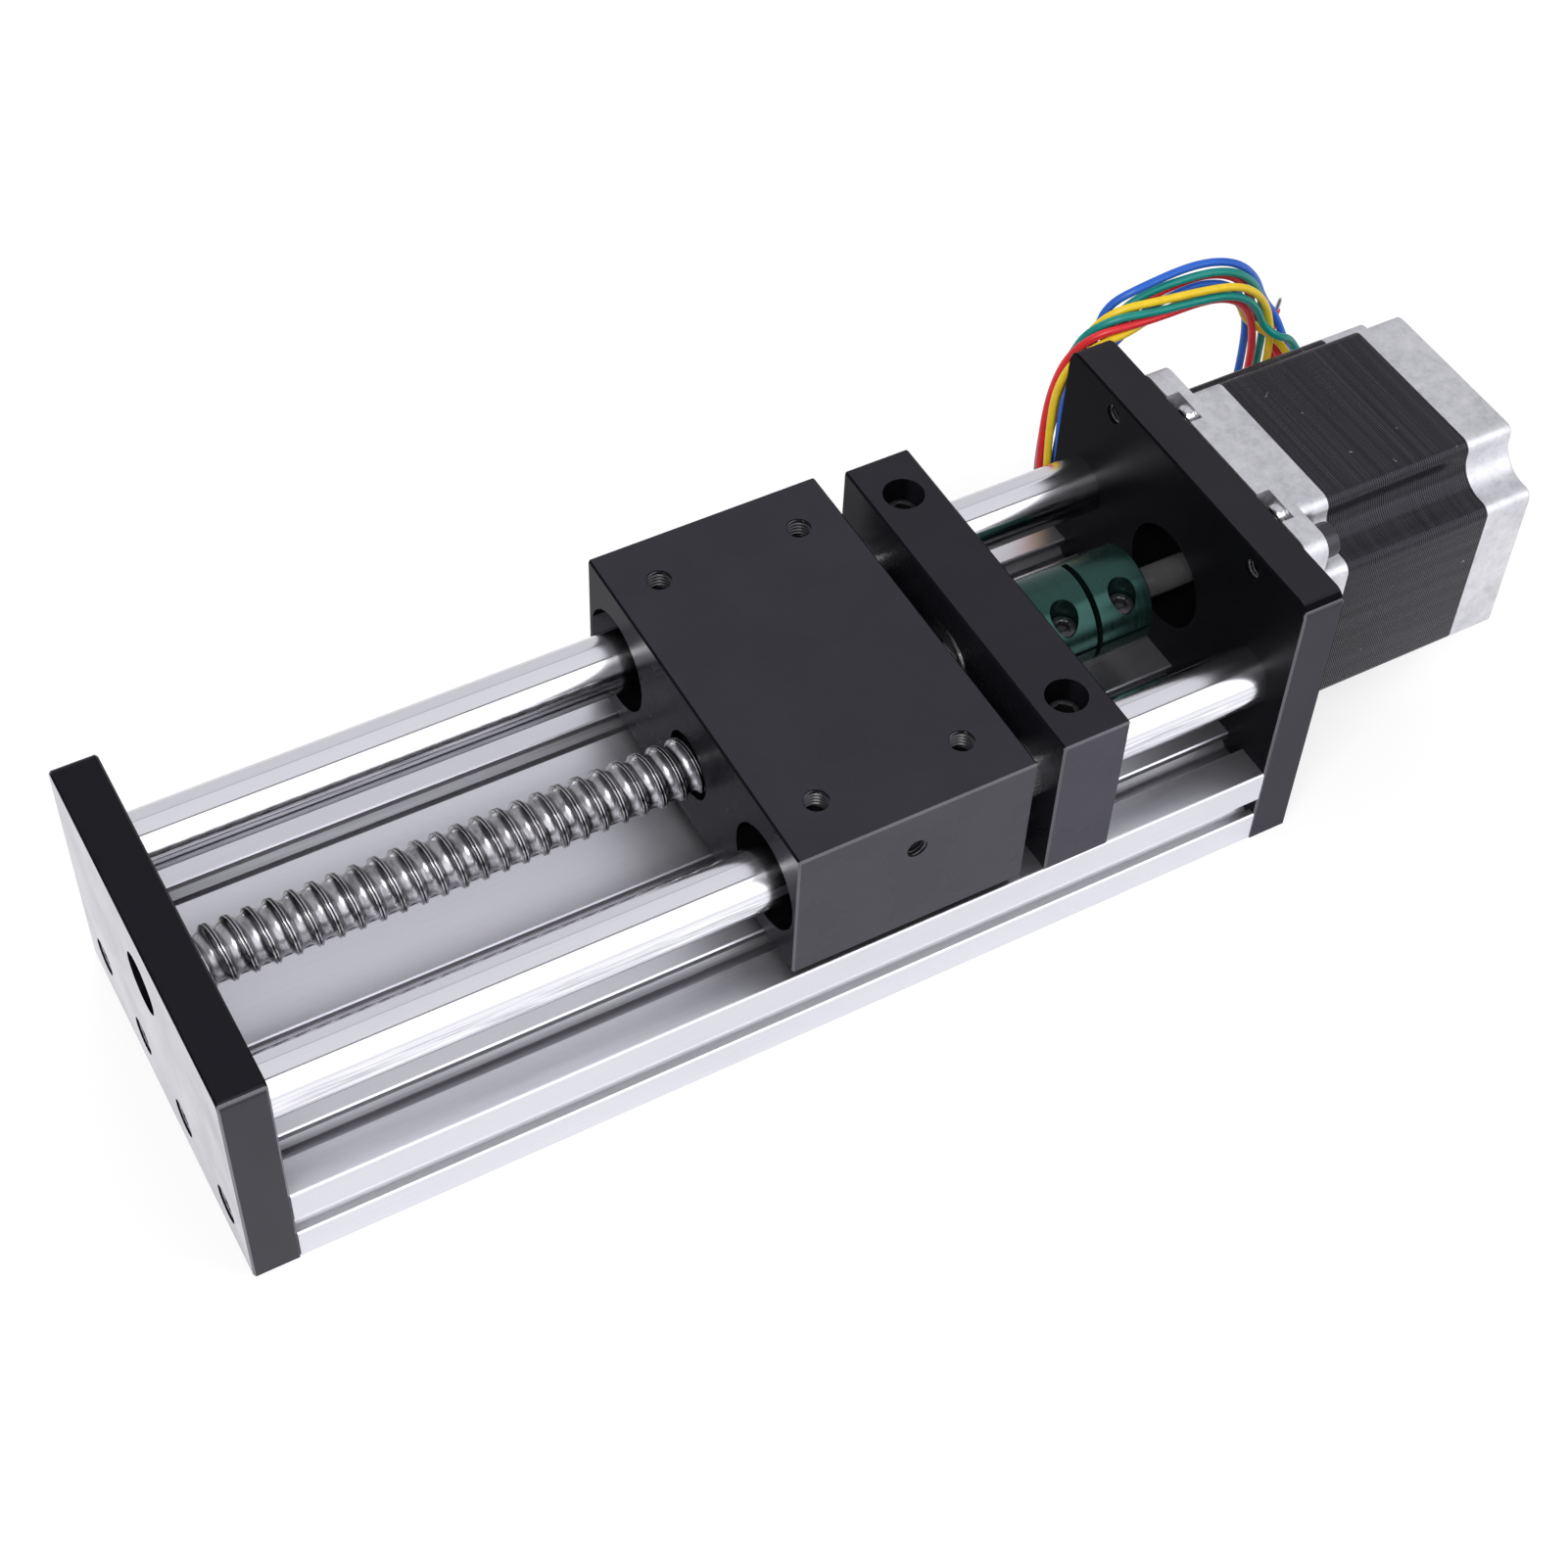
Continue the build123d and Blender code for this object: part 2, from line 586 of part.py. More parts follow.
def nut_wipers():
    """Wiper rings at both ends of the nut."""
    inner = SCREW_R + NUT_BORE_GAP / 2
    return group(
        [
            tube_x(WIPER_R, inner, X_NUT_0, X_NUT_0 + WIPER_T),
            tube_x(WIPER_R, inner, X_NUT_1 - WIPER_T, X_NUT_1),
        ]
    )


def nut_screws():
    """Screws that hold the nut flange to the carriage."""
    length = NUT_FLANGE_T - M3[2] - RUN_GAP + NUT_SCREW_L / 2
    screw = Rot(0, 0, 180) * cap_screw(M3, length)
    return group([Pos(X_NUT_1 - M3[2] - RUN_GAP, y, z) * screw for y, z in nut_screw_places()])


def plate_screws(x_seat, turn):
    """Row of four cap screws that hold an upright plate to the cores of the base."""
    screw = Rot(0, 0, turn) * cap_screw(M4, END_SCREW_L)
    return group([Pos(x_seat, y, CORE_Z) * screw for y in CORE_YS])


def block_screws():
    """Two screws from under the base into the bearing block."""
    length = BASE_H - SLOT_DEPTH + BLOCK_SCREW_GRIP
    screw = Rot(0, -90, 0) * cap_screw(M4, length)
    x = (X_BLOCK_0 + X_BLOCK_1) / 2
    return group([Pos(x, y, SLOT_DEPTH) * screw for y in (-BLOCK_SCREW_Y, BLOCK_SCREW_Y)])


def rod_set_screws():
    """Set screws that press on the rods inside the bearing block."""
    x = (X_BLOCK_0 + X_BLOCK_1) / 2
    foot = AXIS_Z + ROD_R
    screws = []
    for y in ROD_SIDES.values():
        screw = along_z(SET_SCREW_R, foot, foot + SET_SCREW_L, x, y)
        top = Plane.XY.offset(foot + SET_SCREW_L) * Pos(x, y) * RegularPolygon(SET_KEY_R, 6, major_radius=False)
        screws.append(screw - extrude(top, amount=-SET_KEY_DEPTH))
    return group(screws)


def fluted_outline():
    """Motor section: a square whose corners are hollowed by flutes with a round root, with soft edges."""
    outline = Rectangle(MOTOR_W, MOTOR_W)
    for y in (-MOTOR_HALF, MOTOR_HALF):
        for z in (-MOTOR_HALF, MOTOR_HALF):
            outline -= Pos(y, z) * RectangleRounded(2 * FLUTE_W, 2 * FLUTE_W, FLUTE_R)
    rims = [corner for corner in outline.vertices() if max(abs(corner.X), abs(corner.Y)) > MOTOR_HALF - EDGE_BREAK]
    return Pos(0, AXIS_Z) * fillet(rims, FLUTE_EDGE_R)


def through_screw_places():
    """Long screws that hold the motor together, just inside its top and bottom faces."""
    return [(y, AXIS_Z + z) for y in (-WINDOW_Y, WINDOW_Y) for z in (-THROUGH_SCREW_Z, THROUGH_SCREW_Z)]


def screw_passages(solid, radius, x0, x1):
    """Drills the passages of the long motor screws."""
    for y, z in through_screw_places():
        solid -= along_x(radius, x0 - THROUGH, x1 + THROUGH, y, z)
    return solid


def motor_front_cap():
    """Cast front cap: square flange, pilot boss, fluted body, and windows over the long screws."""
    flange_sketch = Pos(0, AXIS_Z) * RectangleRounded(MOTOR_W, MOTOR_W, FLANGE_CORNER_R)
    cap = extrude_x(flange_sketch, X_MOTOR, X_MOTOR + FLANGE_T)
    cap += extrude_x(fluted_outline(), X_MOTOR + FLANGE_T, X_FRONT_CAP)
    cap += along_x(PILOT_R, X_MOTOR - PILOT_H, X_MOTOR)
    cap -= along_x(CAP_CAVITY_R, X_FRONT_CAP - FRONT_CAVITY_L, X_FRONT_CAP + THROUGH)
    seat = X_FRONT_CAP - FRONT_CAVITY_L - MOTOR_BEARING_W
    cap -= along_x(MOTOR_BEARING_R, seat, X_FRONT_CAP)
    cap -= along_x(MOTOR_BEARING_R - RING_T, X_MOTOR - PILOT_H - THROUGH, seat)
    for y, z in motor_corners():
        cap -= along_x(MOTOR_HOLE_R, X_MOTOR - THROUGH, X_MOTOR + FLANGE_T + THROUGH, y, z)
    half = WINDOW_W / 2
    for y in (-WINDOW_Y, WINDOW_Y):
        for side in (-1, 1):
            z0 = AXIS_Z + side * (MOTOR_HALF + THROUGH)
            z1 = AXIS_Z + side * (MOTOR_HALF - WINDOW_Z)
            window = brick(X_MOTOR - THROUGH, X_MOTOR + WINDOW_X, y - half, y + half, min(z0, z1), max(z0, z1))
            cap -= window
    return screw_passages(cap, M3[0] + THREAD_FIT, X_MOTOR, X_FRONT_CAP)


def motor_stator():
    """Stack of laminations between the two caps."""
    stack = extrude_x(fluted_outline(), X_FRONT_CAP, X_REAR_CAP)
    stack -= along_x(STATOR_BORE_R, X_FRONT_CAP - THROUGH, X_REAR_CAP + THROUGH)
    return screw_passages(stack, M3[0] + THREAD_FIT, X_FRONT_CAP, X_REAR_CAP)


def motor_rear_cap():
    """Cast rear cap with the outlet for the leads on its far side."""
    cap = extrude_x(fluted_outline(), X_REAR_CAP, X_BACK)
    cap = chamfer(cap.faces().sort_by(Axis.X)[-1].edges(), CAP_RIM_BREAK)
    cap -= along_x(CAP_CAVITY_R, X_REAR_CAP - THROUGH, X_REAR_CAP + REAR_CAVITY_L)
    cap -= along_x(MOTOR_BEARING_R, X_REAR_CAP, X_REAR_CAP + REAR_CAVITY_L + MOTOR_BEARING_W)
    cap -= grommet_blank(MOTOR_HALF - GROMMET_SEAT, MOTOR_HALF + THROUGH)
    return screw_passages(cap, M3[0] + THREAD_FIT, X_REAR_CAP, X_REAR_CAP + REAR_CAP_L / 2 - THROUGH)


def grommet_blank(y0, y1):
    """Rounded oblong across Y at the lead outlet."""
    sketch = Pos(X_LEADS, AXIS_Z) * SlotOverall(GROMMET_H, GROMMET_W, rotation=90)
    return extrude(Plane.XZ.offset(-y0) * sketch, amount=-(y1 - y0))


def lead_grommet():
    """Rubber outlet of the four leads."""
    return grommet_blank(MOTOR_HALF - GROMMET_SEAT, MOTOR_HALF + GROMMET_PROUD)


def motor_windings():
    """Coil ends that stand out of both ends of the stack."""
    return group(
        [
            tube_x(WINDING_OUTER_R, WINDING_INNER_R, X_FRONT_CAP - FRONT_CAVITY_L + WINDING_GAP, X_FRONT_CAP),
            tube_x(WINDING_OUTER_R, WINDING_INNER_R, X_REAR_CAP, X_REAR_CAP + REAR_CAVITY_L - WINDING_GAP),
        ]
    )


def motor_bearing_stations():
    """Starts of the motor's front and rear bearings."""
    return (X_FRONT_CAP - FRONT_CAVITY_L - MOTOR_BEARING_W, X_REAR_CAP + REAR_CAVITY_L)


def motor_bearing_outer_rings():
    """Outer rings of the motor's bearings."""
    inner = MOTOR_BEARING_R - RING_T
    return group([tube_x(MOTOR_BEARING_R, inner, x, x + MOTOR_BEARING_W) for x in motor_bearing_stations()])


def motor_bearing_inner_rings():
    """Inner rings of the motor's bearings."""
    outer = MOTOR_SHAFT_R + RING_T
    return group([tube_x(outer, MOTOR_SHAFT_R, x, x + MOTOR_BEARING_W) for x in motor_bearing_stations()])


def motor_shaft():
    """Shaft from the rear bearing into the coupling."""
    start = X_COUPLING_1 - SHAFT_IN_COUPLING
    return along_x(MOTOR_SHAFT_R, start, X_REAR_CAP + REAR_CAVITY_L + MOTOR_BEARING_W)


def motor_rotor():
    """Rotor pressed on the shaft inside the stack."""
    return tube_x(ROTOR_R, MOTOR_SHAFT_R, X_FRONT_CAP + ROTOR_INSET, X_REAR_CAP - ROTOR_INSET)


def motor_mount_screws():
    """Screws in the flutes that hold the motor to its plate."""
    screw = Rot(0, 0, 180) * cap_screw(M4, MOTOR_SCREW_L)
    return group([Pos(X_MOTOR + FLANGE_T, y, z) * screw for y, z in motor_screw_corners()])


def motor_through_screws():
    """Long screws from the front cap to the rear cap, with their heads in the windows."""
    head_h = WINDOW_X - 2 * RUN_GAP
    size = (M3[0], M3[1], head_h, M3[3], head_h / 2)
    length = X_REAR_CAP + REAR_CAP_L / 2 - X_MOTOR - WINDOW_X
    screw = cap_screw(size, length)
    return group([Pos(X_MOTOR + WINDOW_X, y, z) * screw for y, z in through_screw_places()])


def coil_centre():
    """Middle of the loop of leads, which stands behind the motor."""
    y = PLATE_W / 2 + COIL_PLATE_GAP + COIL_TUBE_R
    z = COIL_HALF_H + COIL_TUBE_R + COIL_FLOOR_GAP
    return X_BACK - COIL_FROM_MOTOR_BACK, y, z


def lead_coil():
    """Outer shape of the loop: an upright rounded oblong."""
    x, y, z = coil_centre()
    path = Plane.XZ.offset(-y) * Pos(x, z) * RectangleRounded(2 * COIL_HALF_W, 2 * COIL_HALF_H, COIL_BEND_R)
    wire = path.wire()
    section = Plane(origin=wire @ 0, z_dir=wire % 0) * Circle(COIL_TUBE_R)
    return sweep(section, path=wire)


def lead_route(place):
    """Points from the outlet to the loop, for the lead in this place of the row."""
    x, y, _ = coil_centre()
    height = AXIS_Z + (place - 1.5) * LEAD_PITCH
    outlet = Vector(X_LEADS, MOTOR_HALF + GROMMET_PROUD, height)
    corner = outlet + Vector(0, LEAD_RUN, 0)
    towards = Vector(x + COIL_HALF_W, y, height) - corner
    end = corner + towards.normalized() * (towards.length - COIL_TUBE_R)
    return [outlet, corner, end]


def lead_radii(points):
    """Largest arc that the two runs beside each corner allow."""
    radii = []
    for before, corner, after in zip(points, points[1:], points[2:]):
        into = corner - before
        out = after - corner
        turn = math.radians(into.get_angle(out))
        radii.append(0.45 * min(into.length, out.length) / math.tan(turn / 2))
    return radii


def lead(place, name):
    """Free stretch of one lead, as a plain tube."""
    points = lead_route(place)
    radii = lead_radii(points)
    print("lead", name, "radii", [round(radius, 1) for radius in radii])
    path = FilletPolyline(*points, radius=radii)
    section = Plane(origin=path @ 0, z_dir=path % 0) * Circle(LEAD_R)
    tube = sweep(section, path=path)
    expected = math.pi * LEAD_R**2 * path.length
    print("lead", name, "volume", round(tube.volume, 2), "expected", round(expected, 2))
    return tube


NODES = {
    "base_profile": base_profile(),
    "end_plate": end_plate(),
    "bearing_block": bearing_block(),
    "motor_plate": motor_plate(),
    "guide_rod_near": guide_rod(ROD_SIDES["near"]),
    "guide_rod_far": guide_rod(ROD_SIDES["far"]),
    "screw_bearing_outer_rings": bearing_outer_rings(),
    "screw_bearing_seals": bearing_seals(),
    "end_plate_screws": plate_screws(X_END + M4[2] + RUN_GAP, 0),
    "motor_plate_screws": plate_screws(X_MOTOR - M4[2] - RUN_GAP, 180),
    "block_screws": block_screws(),
    "rod_set_screws": rod_set_screws(),
    "motor_front_cap": motor_front_cap(),
    "motor_stator": motor_stator(),
    "motor_rear_cap": motor_rear_cap(),
    "motor_windings": motor_windings(),
    "motor_bearing_outer_rings": motor_bearing_outer_rings(),
    "motor_mount_screws": motor_mount_screws(),
    "motor_through_screws": motor_through_screws(),
    "lead_grommet": lead_grommet(),
    "lead_coil": lead_coil(),
    "ball_screw": ball_screw(),
    "screw_bearing_inner_rings": bearing_inner_rings(),
    "bearing_spacer": bearing_spacer(),
    "preload_collar": preload_collar(),
    "shaft_coupling": shaft_coupling(),
    "coupling_clamp_screws": clamp_screws(),
    "motor_shaft": motor_shaft(),
    "motor_rotor": motor_rotor(),
    "motor_bearing_inner_rings": motor_bearing_inner_rings(),
    "carriage_table": carriage_table(),
    "linear_bearing_near": linear_bearing_sleeve(ROD_SIDES["near"]),
    "linear_bearing_far": linear_bearing_sleeve(ROD_SIDES["far"]),
    "linear_bearing_cages": bearing_cages(),
    "linear_bearing_seals": bearing_end_seals(),
    "retaining_rings": retaining_rings(),
    "ball_nut": ball_nut(),
    "ball_return_inserts": return_inserts(),
    "nut_wipers": nut_wipers(),
    "nut_screws": nut_screws(),
}
for place, name in enumerate(LEAD_NAMES):
    NODES["lead_" + name] = lead(place, name)

os.makedirs("parts", exist_ok=True)
for name, shape in NODES.items():
    export_step(shape, "parts/" + name + ".step")
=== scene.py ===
import math

import bmesh
import bpy
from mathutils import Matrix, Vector
from mathutils.geometry import tessellate_polygon


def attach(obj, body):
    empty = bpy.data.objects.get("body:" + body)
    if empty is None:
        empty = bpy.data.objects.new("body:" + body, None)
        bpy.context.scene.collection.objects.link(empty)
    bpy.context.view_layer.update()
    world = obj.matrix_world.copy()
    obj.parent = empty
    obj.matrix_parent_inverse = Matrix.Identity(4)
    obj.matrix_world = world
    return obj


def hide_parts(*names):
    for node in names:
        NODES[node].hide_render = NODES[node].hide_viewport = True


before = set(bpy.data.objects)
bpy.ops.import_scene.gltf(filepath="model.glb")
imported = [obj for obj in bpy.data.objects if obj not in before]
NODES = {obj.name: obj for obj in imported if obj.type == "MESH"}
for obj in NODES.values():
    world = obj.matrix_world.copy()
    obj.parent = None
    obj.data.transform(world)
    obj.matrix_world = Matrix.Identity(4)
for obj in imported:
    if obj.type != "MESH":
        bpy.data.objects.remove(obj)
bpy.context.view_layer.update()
MM = 0.001

# ---------------------------------------------------------------- stations of the object, in mm
X_END, X_BASE, X_PLATE, X_MOTOR, X_FRONT_CAP, X_REAR_CAP = -139.0, -130.0, 74.0, 83.0, 94.5, 128.0
X_BLOCK_0, X_BLOCK_1, X_CAR = 23.0, 37.3, -7.8
X_BLOCK_MID = (X_BLOCK_0 + X_BLOCK_1) / 2
AXIS_Z = 39.0
ROD_Y = 29.25
BASE_MID_Z = 10.0
END_TOP, BLOCK_TOP, TABLE_TOP, MOTOR_PLATE_TOP = 54.5, 55.5, 56.0, 67.0
LEAD = 4.0
X_HELIX = X_BASE - 3 * LEAD

# ---------------------------------------------------------------- camera
CAMERA_AT = (-0.1890362, -0.2910486, 0.4355198)
CAMERA_TURN = (39.45405853, -1.97911396, -29.01120815)
CAMERA_LENS = 63.94647

camera = bpy.data.objects.new("camera", bpy.data.cameras.new("camera"))
camera.location = CAMERA_AT
camera.rotation_euler = [math.radians(a) for a in CAMERA_TURN]
camera.data.lens = CAMERA_LENS
camera.data.sensor_fit = "HORIZONTAL"
camera.data.sensor_width = 36.0
camera.data.clip_start = 0.01
camera.data.clip_end = 20.0
bpy.context.scene.collection.objects.link(camera)
bpy.context.scene.camera = camera
bpy.context.scene.view_settings.view_transform = "Standard"


# ---------------------------------------------------------------- node helpers
class Graph:
    """Short way to write the node tree of a new material, or of a world that is handed in."""

    def __init__(self, name, world=None):
        self.material = world or bpy.data.materials.new(name)
        self.material.use_nodes = True
        self.tree = self.material.node_tree
        self.tree.nodes.clear()
        self.out = self.tree.nodes.new("ShaderNodeOutputWorld" if world else "ShaderNodeOutputMaterial")

    def add(self, kind, inputs=None, **settings):
        """Add a node; each input gets a socket to follow or a fixed value."""
        node = self.tree.nodes.new("ShaderNode" + kind)
        for key, value in settings.items():
            setattr(node, key, value)
        for key, term in (inputs or {}).items():
            if isinstance(term, bpy.types.NodeSocket):
                self.tree.links.new(term, node.inputs[key])
            else:
                node.inputs[key].default_value = term
        return node

    def math(self, operation, *terms):
        return self.add("Math", dict(enumerate(terms)), operation=operation).outputs[0]

    def blend(self, factor, first, second, mode="MIX"):
        """Mix of two colours."""
        return self.add("Mix", {0: factor, 6: first, 7: second}, data_type="RGBA", blend_type=mode).outputs[2]

    def mean(self, factor, first, second):
        """Mix of two numbers."""
        return self.add("Mix", {0: factor, 2: first, 3: second}).outputs[0]

    def scaled(self, value, **limits):
        """Map a number from one range to another."""
        limits = {key.replace("_", " ").title(): limit for key, limit in limits.items()}
        return self.add("MapRange", {"Value": value, **limits}).outputs[0]

    def ramp(self, source, stops):
        node = self.add("ValToRGB", {"Fac": source})
        elements = node.color_ramp.elements
        while len(elements) < len(stops):
            elements.new(0.5)
        for element, (place, colour) in zip(elements, stops):
            element.position = place
            if not isinstance(colour, tuple):
                colour = (colour, colour, colour)
            element.color = (*colour, 1.0)
        return node.outputs["Color"]

    def noise(self, scale, stretch=(1, 1, 1), detail=3.0, rough=0.55):
        place = self.add("TexCoord").outputs["Object"]
        moved = self.add("Mapping", {"Vector": place, "Scale": stretch}).outputs["Vector"]
        values = {"Vector": moved, "Scale": scale, "Detail": detail, "Roughness": rough}
        return self.add("TexNoise", values).outputs["Fac"]

    def bump(self, height, strength, distance):
        values = {"Height": height, "Strength": strength, "Distance": distance}
        return self.add("Bump", values).outputs["Normal"]

    def place(self):
        """The three coordinates of a point, in the object's own space."""
        return self.add("SeparateXYZ", {0: self.add("TexCoord").outputs["Object"]}).outputs

    def facing(self):
        """The three parts of the surface's normal."""
        return self.add("SeparateXYZ", {0: self.add("NewGeometry").outputs["Normal"]}).outputs

    def surface(self, shader):
        self.tree.links.new(shader, self.out.inputs["Surface"])
        return self.material

    def principled(self, inputs):
        """Close the tree with one principled shader."""
        return self.surface(self.add("BsdfPrincipled", inputs).outputs["BSDF"])


def give(material, *names):
    """Put a material on carried-over nodes."""
    for name in names:
        for node_slot in NODES[name].material_slots:
            node_slot.material = material


# ---------------------------------------------------------------- materials
COOL_TINT = (0.90, 0.88, 1.0, 1)
# Darker tone for bores and hidden faces of the black parts: painted shade.
BORE_SHADE = (0.0035, 0.0034, 0.0042, 1)
# Light grey for the rounded edges along the sides of the black parts: painted highlight.
EDGE_HIGHLIGHT = (0.15, 0.147, 0.165, 1)
FLANK_FROM = 39.4 * MM
FINE_DEPTH = 0.01 * MM
GRAIN_DEPTH = 0.02 * MM
PIT_DEPTH = 0.07 * MM


def metal(name, colour, roughness, metallic=1.0, stretch=(1, 1, 1), scale=900.0, spread=0.06, tint=0.06,
          bump=0.05, depth=GRAIN_DEPTH):
    """Metal with a grain along one direction: it varies the colour, the roughness and the surface."""
    g = Graph(name)
    grain = g.noise(scale, stretch)
    low = tuple(c * (1 - tint) for c in colour)
    high = tuple(min(1.0, c * (1 + tint)) for c in colour)
    tone = g.blend(g.noise(60.0), g.ramp(grain, [(0.3, low), (0.7, high)]),
                   g.ramp(grain, [(0.35, low), (0.65, colour)]))
    rough = g.ramp(grain, [(0.25, max(0.02, roughness - spread)), (0.75, roughness + spread)])
    inputs = {"Base Color": tone, "Metallic": metallic, "Roughness": rough}
    if bump:
        inputs["Normal"] = g.bump(grain, bump, depth)
    return g.principled(inputs)


def anodised(name, face, crown, painted_side_tone, roughness, ior, top):
    """Black anodised plate: end faces keep the face tone; top and side faces get their own painted light and
    shade, the rounded edges along the sides a painted highlight, and bores and the remaining faces a darker
    painted shade.
    """
    g = Graph(name)
    grain, cloud = g.noise(2600.0), g.noise(70.0)
    place, facing = g.place(), g.facing()
    # Faces that look along X keep the face tone; bores and the remaining faces get a darker painted shade.
    end_on = g.ramp(g.math("ABSOLUTE", facing["X"]), [(0.60, 0.0), (0.85, 1.0)])
    tone = g.blend(end_on, BORE_SHADE, (*face, 1))
    # Top faces get their own tone: painted light on the table, block and motor plate tops, painted shade on
    # the end plate's top.
    above = g.math("GREATER_THAN", place["Z"], (top - 0.5) * MM)
    above = g.math("MULTIPLY", above, g.ramp(facing["Z"], [(0.70, 0.0), (0.95, 1.0)]))
    tone = g.blend(above, tone, (*crown, 1))
    # Side faces, far out in Y, get their own lighter tone: painted light.
    side = g.math("GREATER_THAN", g.math("ABSOLUTE", place["Y"]), FLANK_FROM)
    across = g.math("ABSOLUTE", facing["Y"])
    painted_sides = g.math("MULTIPLY", side, g.ramp(across, [(0.85, 0.0), (0.97, 1.0)]))
    tone = g.blend(painted_sides, tone, (*painted_side_tone, 1))
    # Rounded edges along the sides get a light grey painted highlight.
    rim = g.ramp(across, [(0.30, 0.0), (0.45, 1.0), (0.85, 1.0), (0.95, 0.0)])
    tone = g.blend(g.math("MULTIPLY", side, rim), tone, EDGE_HIGHLIGHT)
    wear = g.ramp(g.mean(0.6, grain, cloud), [(0.35, 0.88), (0.65, 1.0)])
    return g.principled({
        "Base Color": g.blend(1.0, tone, wear, "MULTIPLY"), "Metallic": 0.0,
        "IOR": ior, "Specular Tint": COOL_TINT,
        "Roughness": g.ramp(cloud, [(0.3, roughness - 0.03), (0.7, roughness + 0.03)]),
        "Normal": g.bump(grain, 0.04, FINE_DEPTH),
    })


def extrusion():
    """Satin clear anodised aluminium with faint die lines; the top faces get painted light, and the slots a
    darker painted shade, apart from those in the sides.
    """
    g = Graph("clear_anodised")
    lines = g.noise(2600.0, (0.012, 1, 1))
    both = g.mean(0.4, lines, g.noise(45.0, (0.4, 1, 1)))
    face = g.ramp(both, [(0.35, (0.725, 0.725, 0.765)), (0.65, (0.775, 0.775, 0.810))])
    # Top faces get a lighter tone than the other faces: painted light.
    crown = g.ramp(both, [(0.35, (0.795, 0.795, 0.835)), (0.65, (0.845, 0.845, 0.880))])
    face = g.blend(g.ramp(g.facing()["Z"], [(0.80, 0.0), (0.95, 1.0)]), face, crown)

    place = g.place()
    height = g.math("ABSOLUTE", g.math("SUBTRACT", place["Z"], BASE_MID_Z * MM))
    across = g.math("ABSOLUTE", place["Y"])
    # Surfaces within the profile's slots get a darker tone, a painted shade; the slots in the sides are
    # spared and keep a plain tone.
    slot_shade_mask = g.math("MULTIPLY", g.math("LESS_THAN", height, 9.7 * MM), g.math("LESS_THAN", across, 39.7 * MM))
    side_slot = g.math("MULTIPLY", g.math("GREATER_THAN", across, 34.0 * MM),
                       g.math("LESS_THAN", height, 4.5 * MM))
    slot = g.ramp(lines, [(0.35, (0.430, 0.430, 0.452)), (0.65, (0.530, 0.530, 0.552))])
    slot = g.blend(side_slot, slot, (0.75, 0.75, 0.77, 1))
    return g.principled({
        "Base Color": g.blend(slot_shade_mask, face, slot), "Metallic": 1.0,
        "Roughness": g.ramp(lines, [(0.3, 0.33), (0.7, 0.39)]),
        "Normal": g.bump(lines, 0.03, FINE_DEPTH),
    })


def chromed_rod(name, underside_reflection):
    """Hard chrome ground round the rod, so that its reflections are drawn out along it; its lower near side
    gets a darker painted reflection of the shaded base under it.
    """
    g = Graph(name)
    marks = g.noise(2400.0, (0.03, 1, 1))
    facing = g.facing()
    bright = g.ramp(marks, [(0.3, (0.845, 0.845, 0.870)), (0.7, (0.880, 0.880, 0.905))])
    # The lower near side gets a darker tone set per rod: a painted reflection of the shaded base under the
    # rod.
    dull = g.ramp(marks, [(0.34, (underside_reflection * 0.72, underside_reflection * 0.72, underside_reflection * 0.75)),
                          (0.62, (underside_reflection * 1.25, underside_reflection * 1.25, underside_reflection * 1.29))])
    painted_underside = g.ramp(g.scaled(facing["Z"], from_min=-1.0), [(0.655, 1.0), (0.700, 0.0)])
    painted_underside = g.math("MULTIPLY", painted_underside, g.math("LESS_THAN", facing["Y"], 0.0))
    return g.principled({
        "Base Color": g.blend(painted_underside, bright, dull), "Metallic": 1.0,
        "Roughness": g.ramp(marks, [(0.3, 0.12), (0.7, 0.14)]),
        "Anisotropic": 0.9, "Tangent": g.add("CombineXYZ", {"X": 1.0}).outputs[0],
    })


def cast_alloy():
    """Die-cast cap: mottled grey skin with small pits; the front boss that sits in the motor plate gets a
    dark painted shade.
    """
    g = Graph("cast_alloy")
    grain = g.noise(1300.0, detail=4.0, rough=0.65)
    mottle = g.noise(380.0, detail=3.0)
    skin_tone = g.mean(0.30, g.mean(0.55, grain, mottle), g.noise(70.0))
    tone = g.ramp(skin_tone, [(0.36, (0.53, 0.53, 0.555)), (0.50, (0.66, 0.66, 0.685)),
                              (0.64, (0.76, 0.76, 0.78))])
    # The front boss that sits in the motor plate gets a near black tone: painted shade.
    pilot_shade = g.math("LESS_THAN", g.place()["X"], (X_MOTOR - 0.05) * MM)
    return g.principled({
        "Base Color": g.blend(pilot_shade, tone, (0.020, 0.020, 0.022, 1)), "Metallic": 0.85,
        "Roughness": g.ramp(grain, [(0.3, 0.34), (0.7, 0.50)]),
        "Normal": g.bump(g.mean(0.4, grain, mottle), 0.55, PIT_DEPTH),
    })


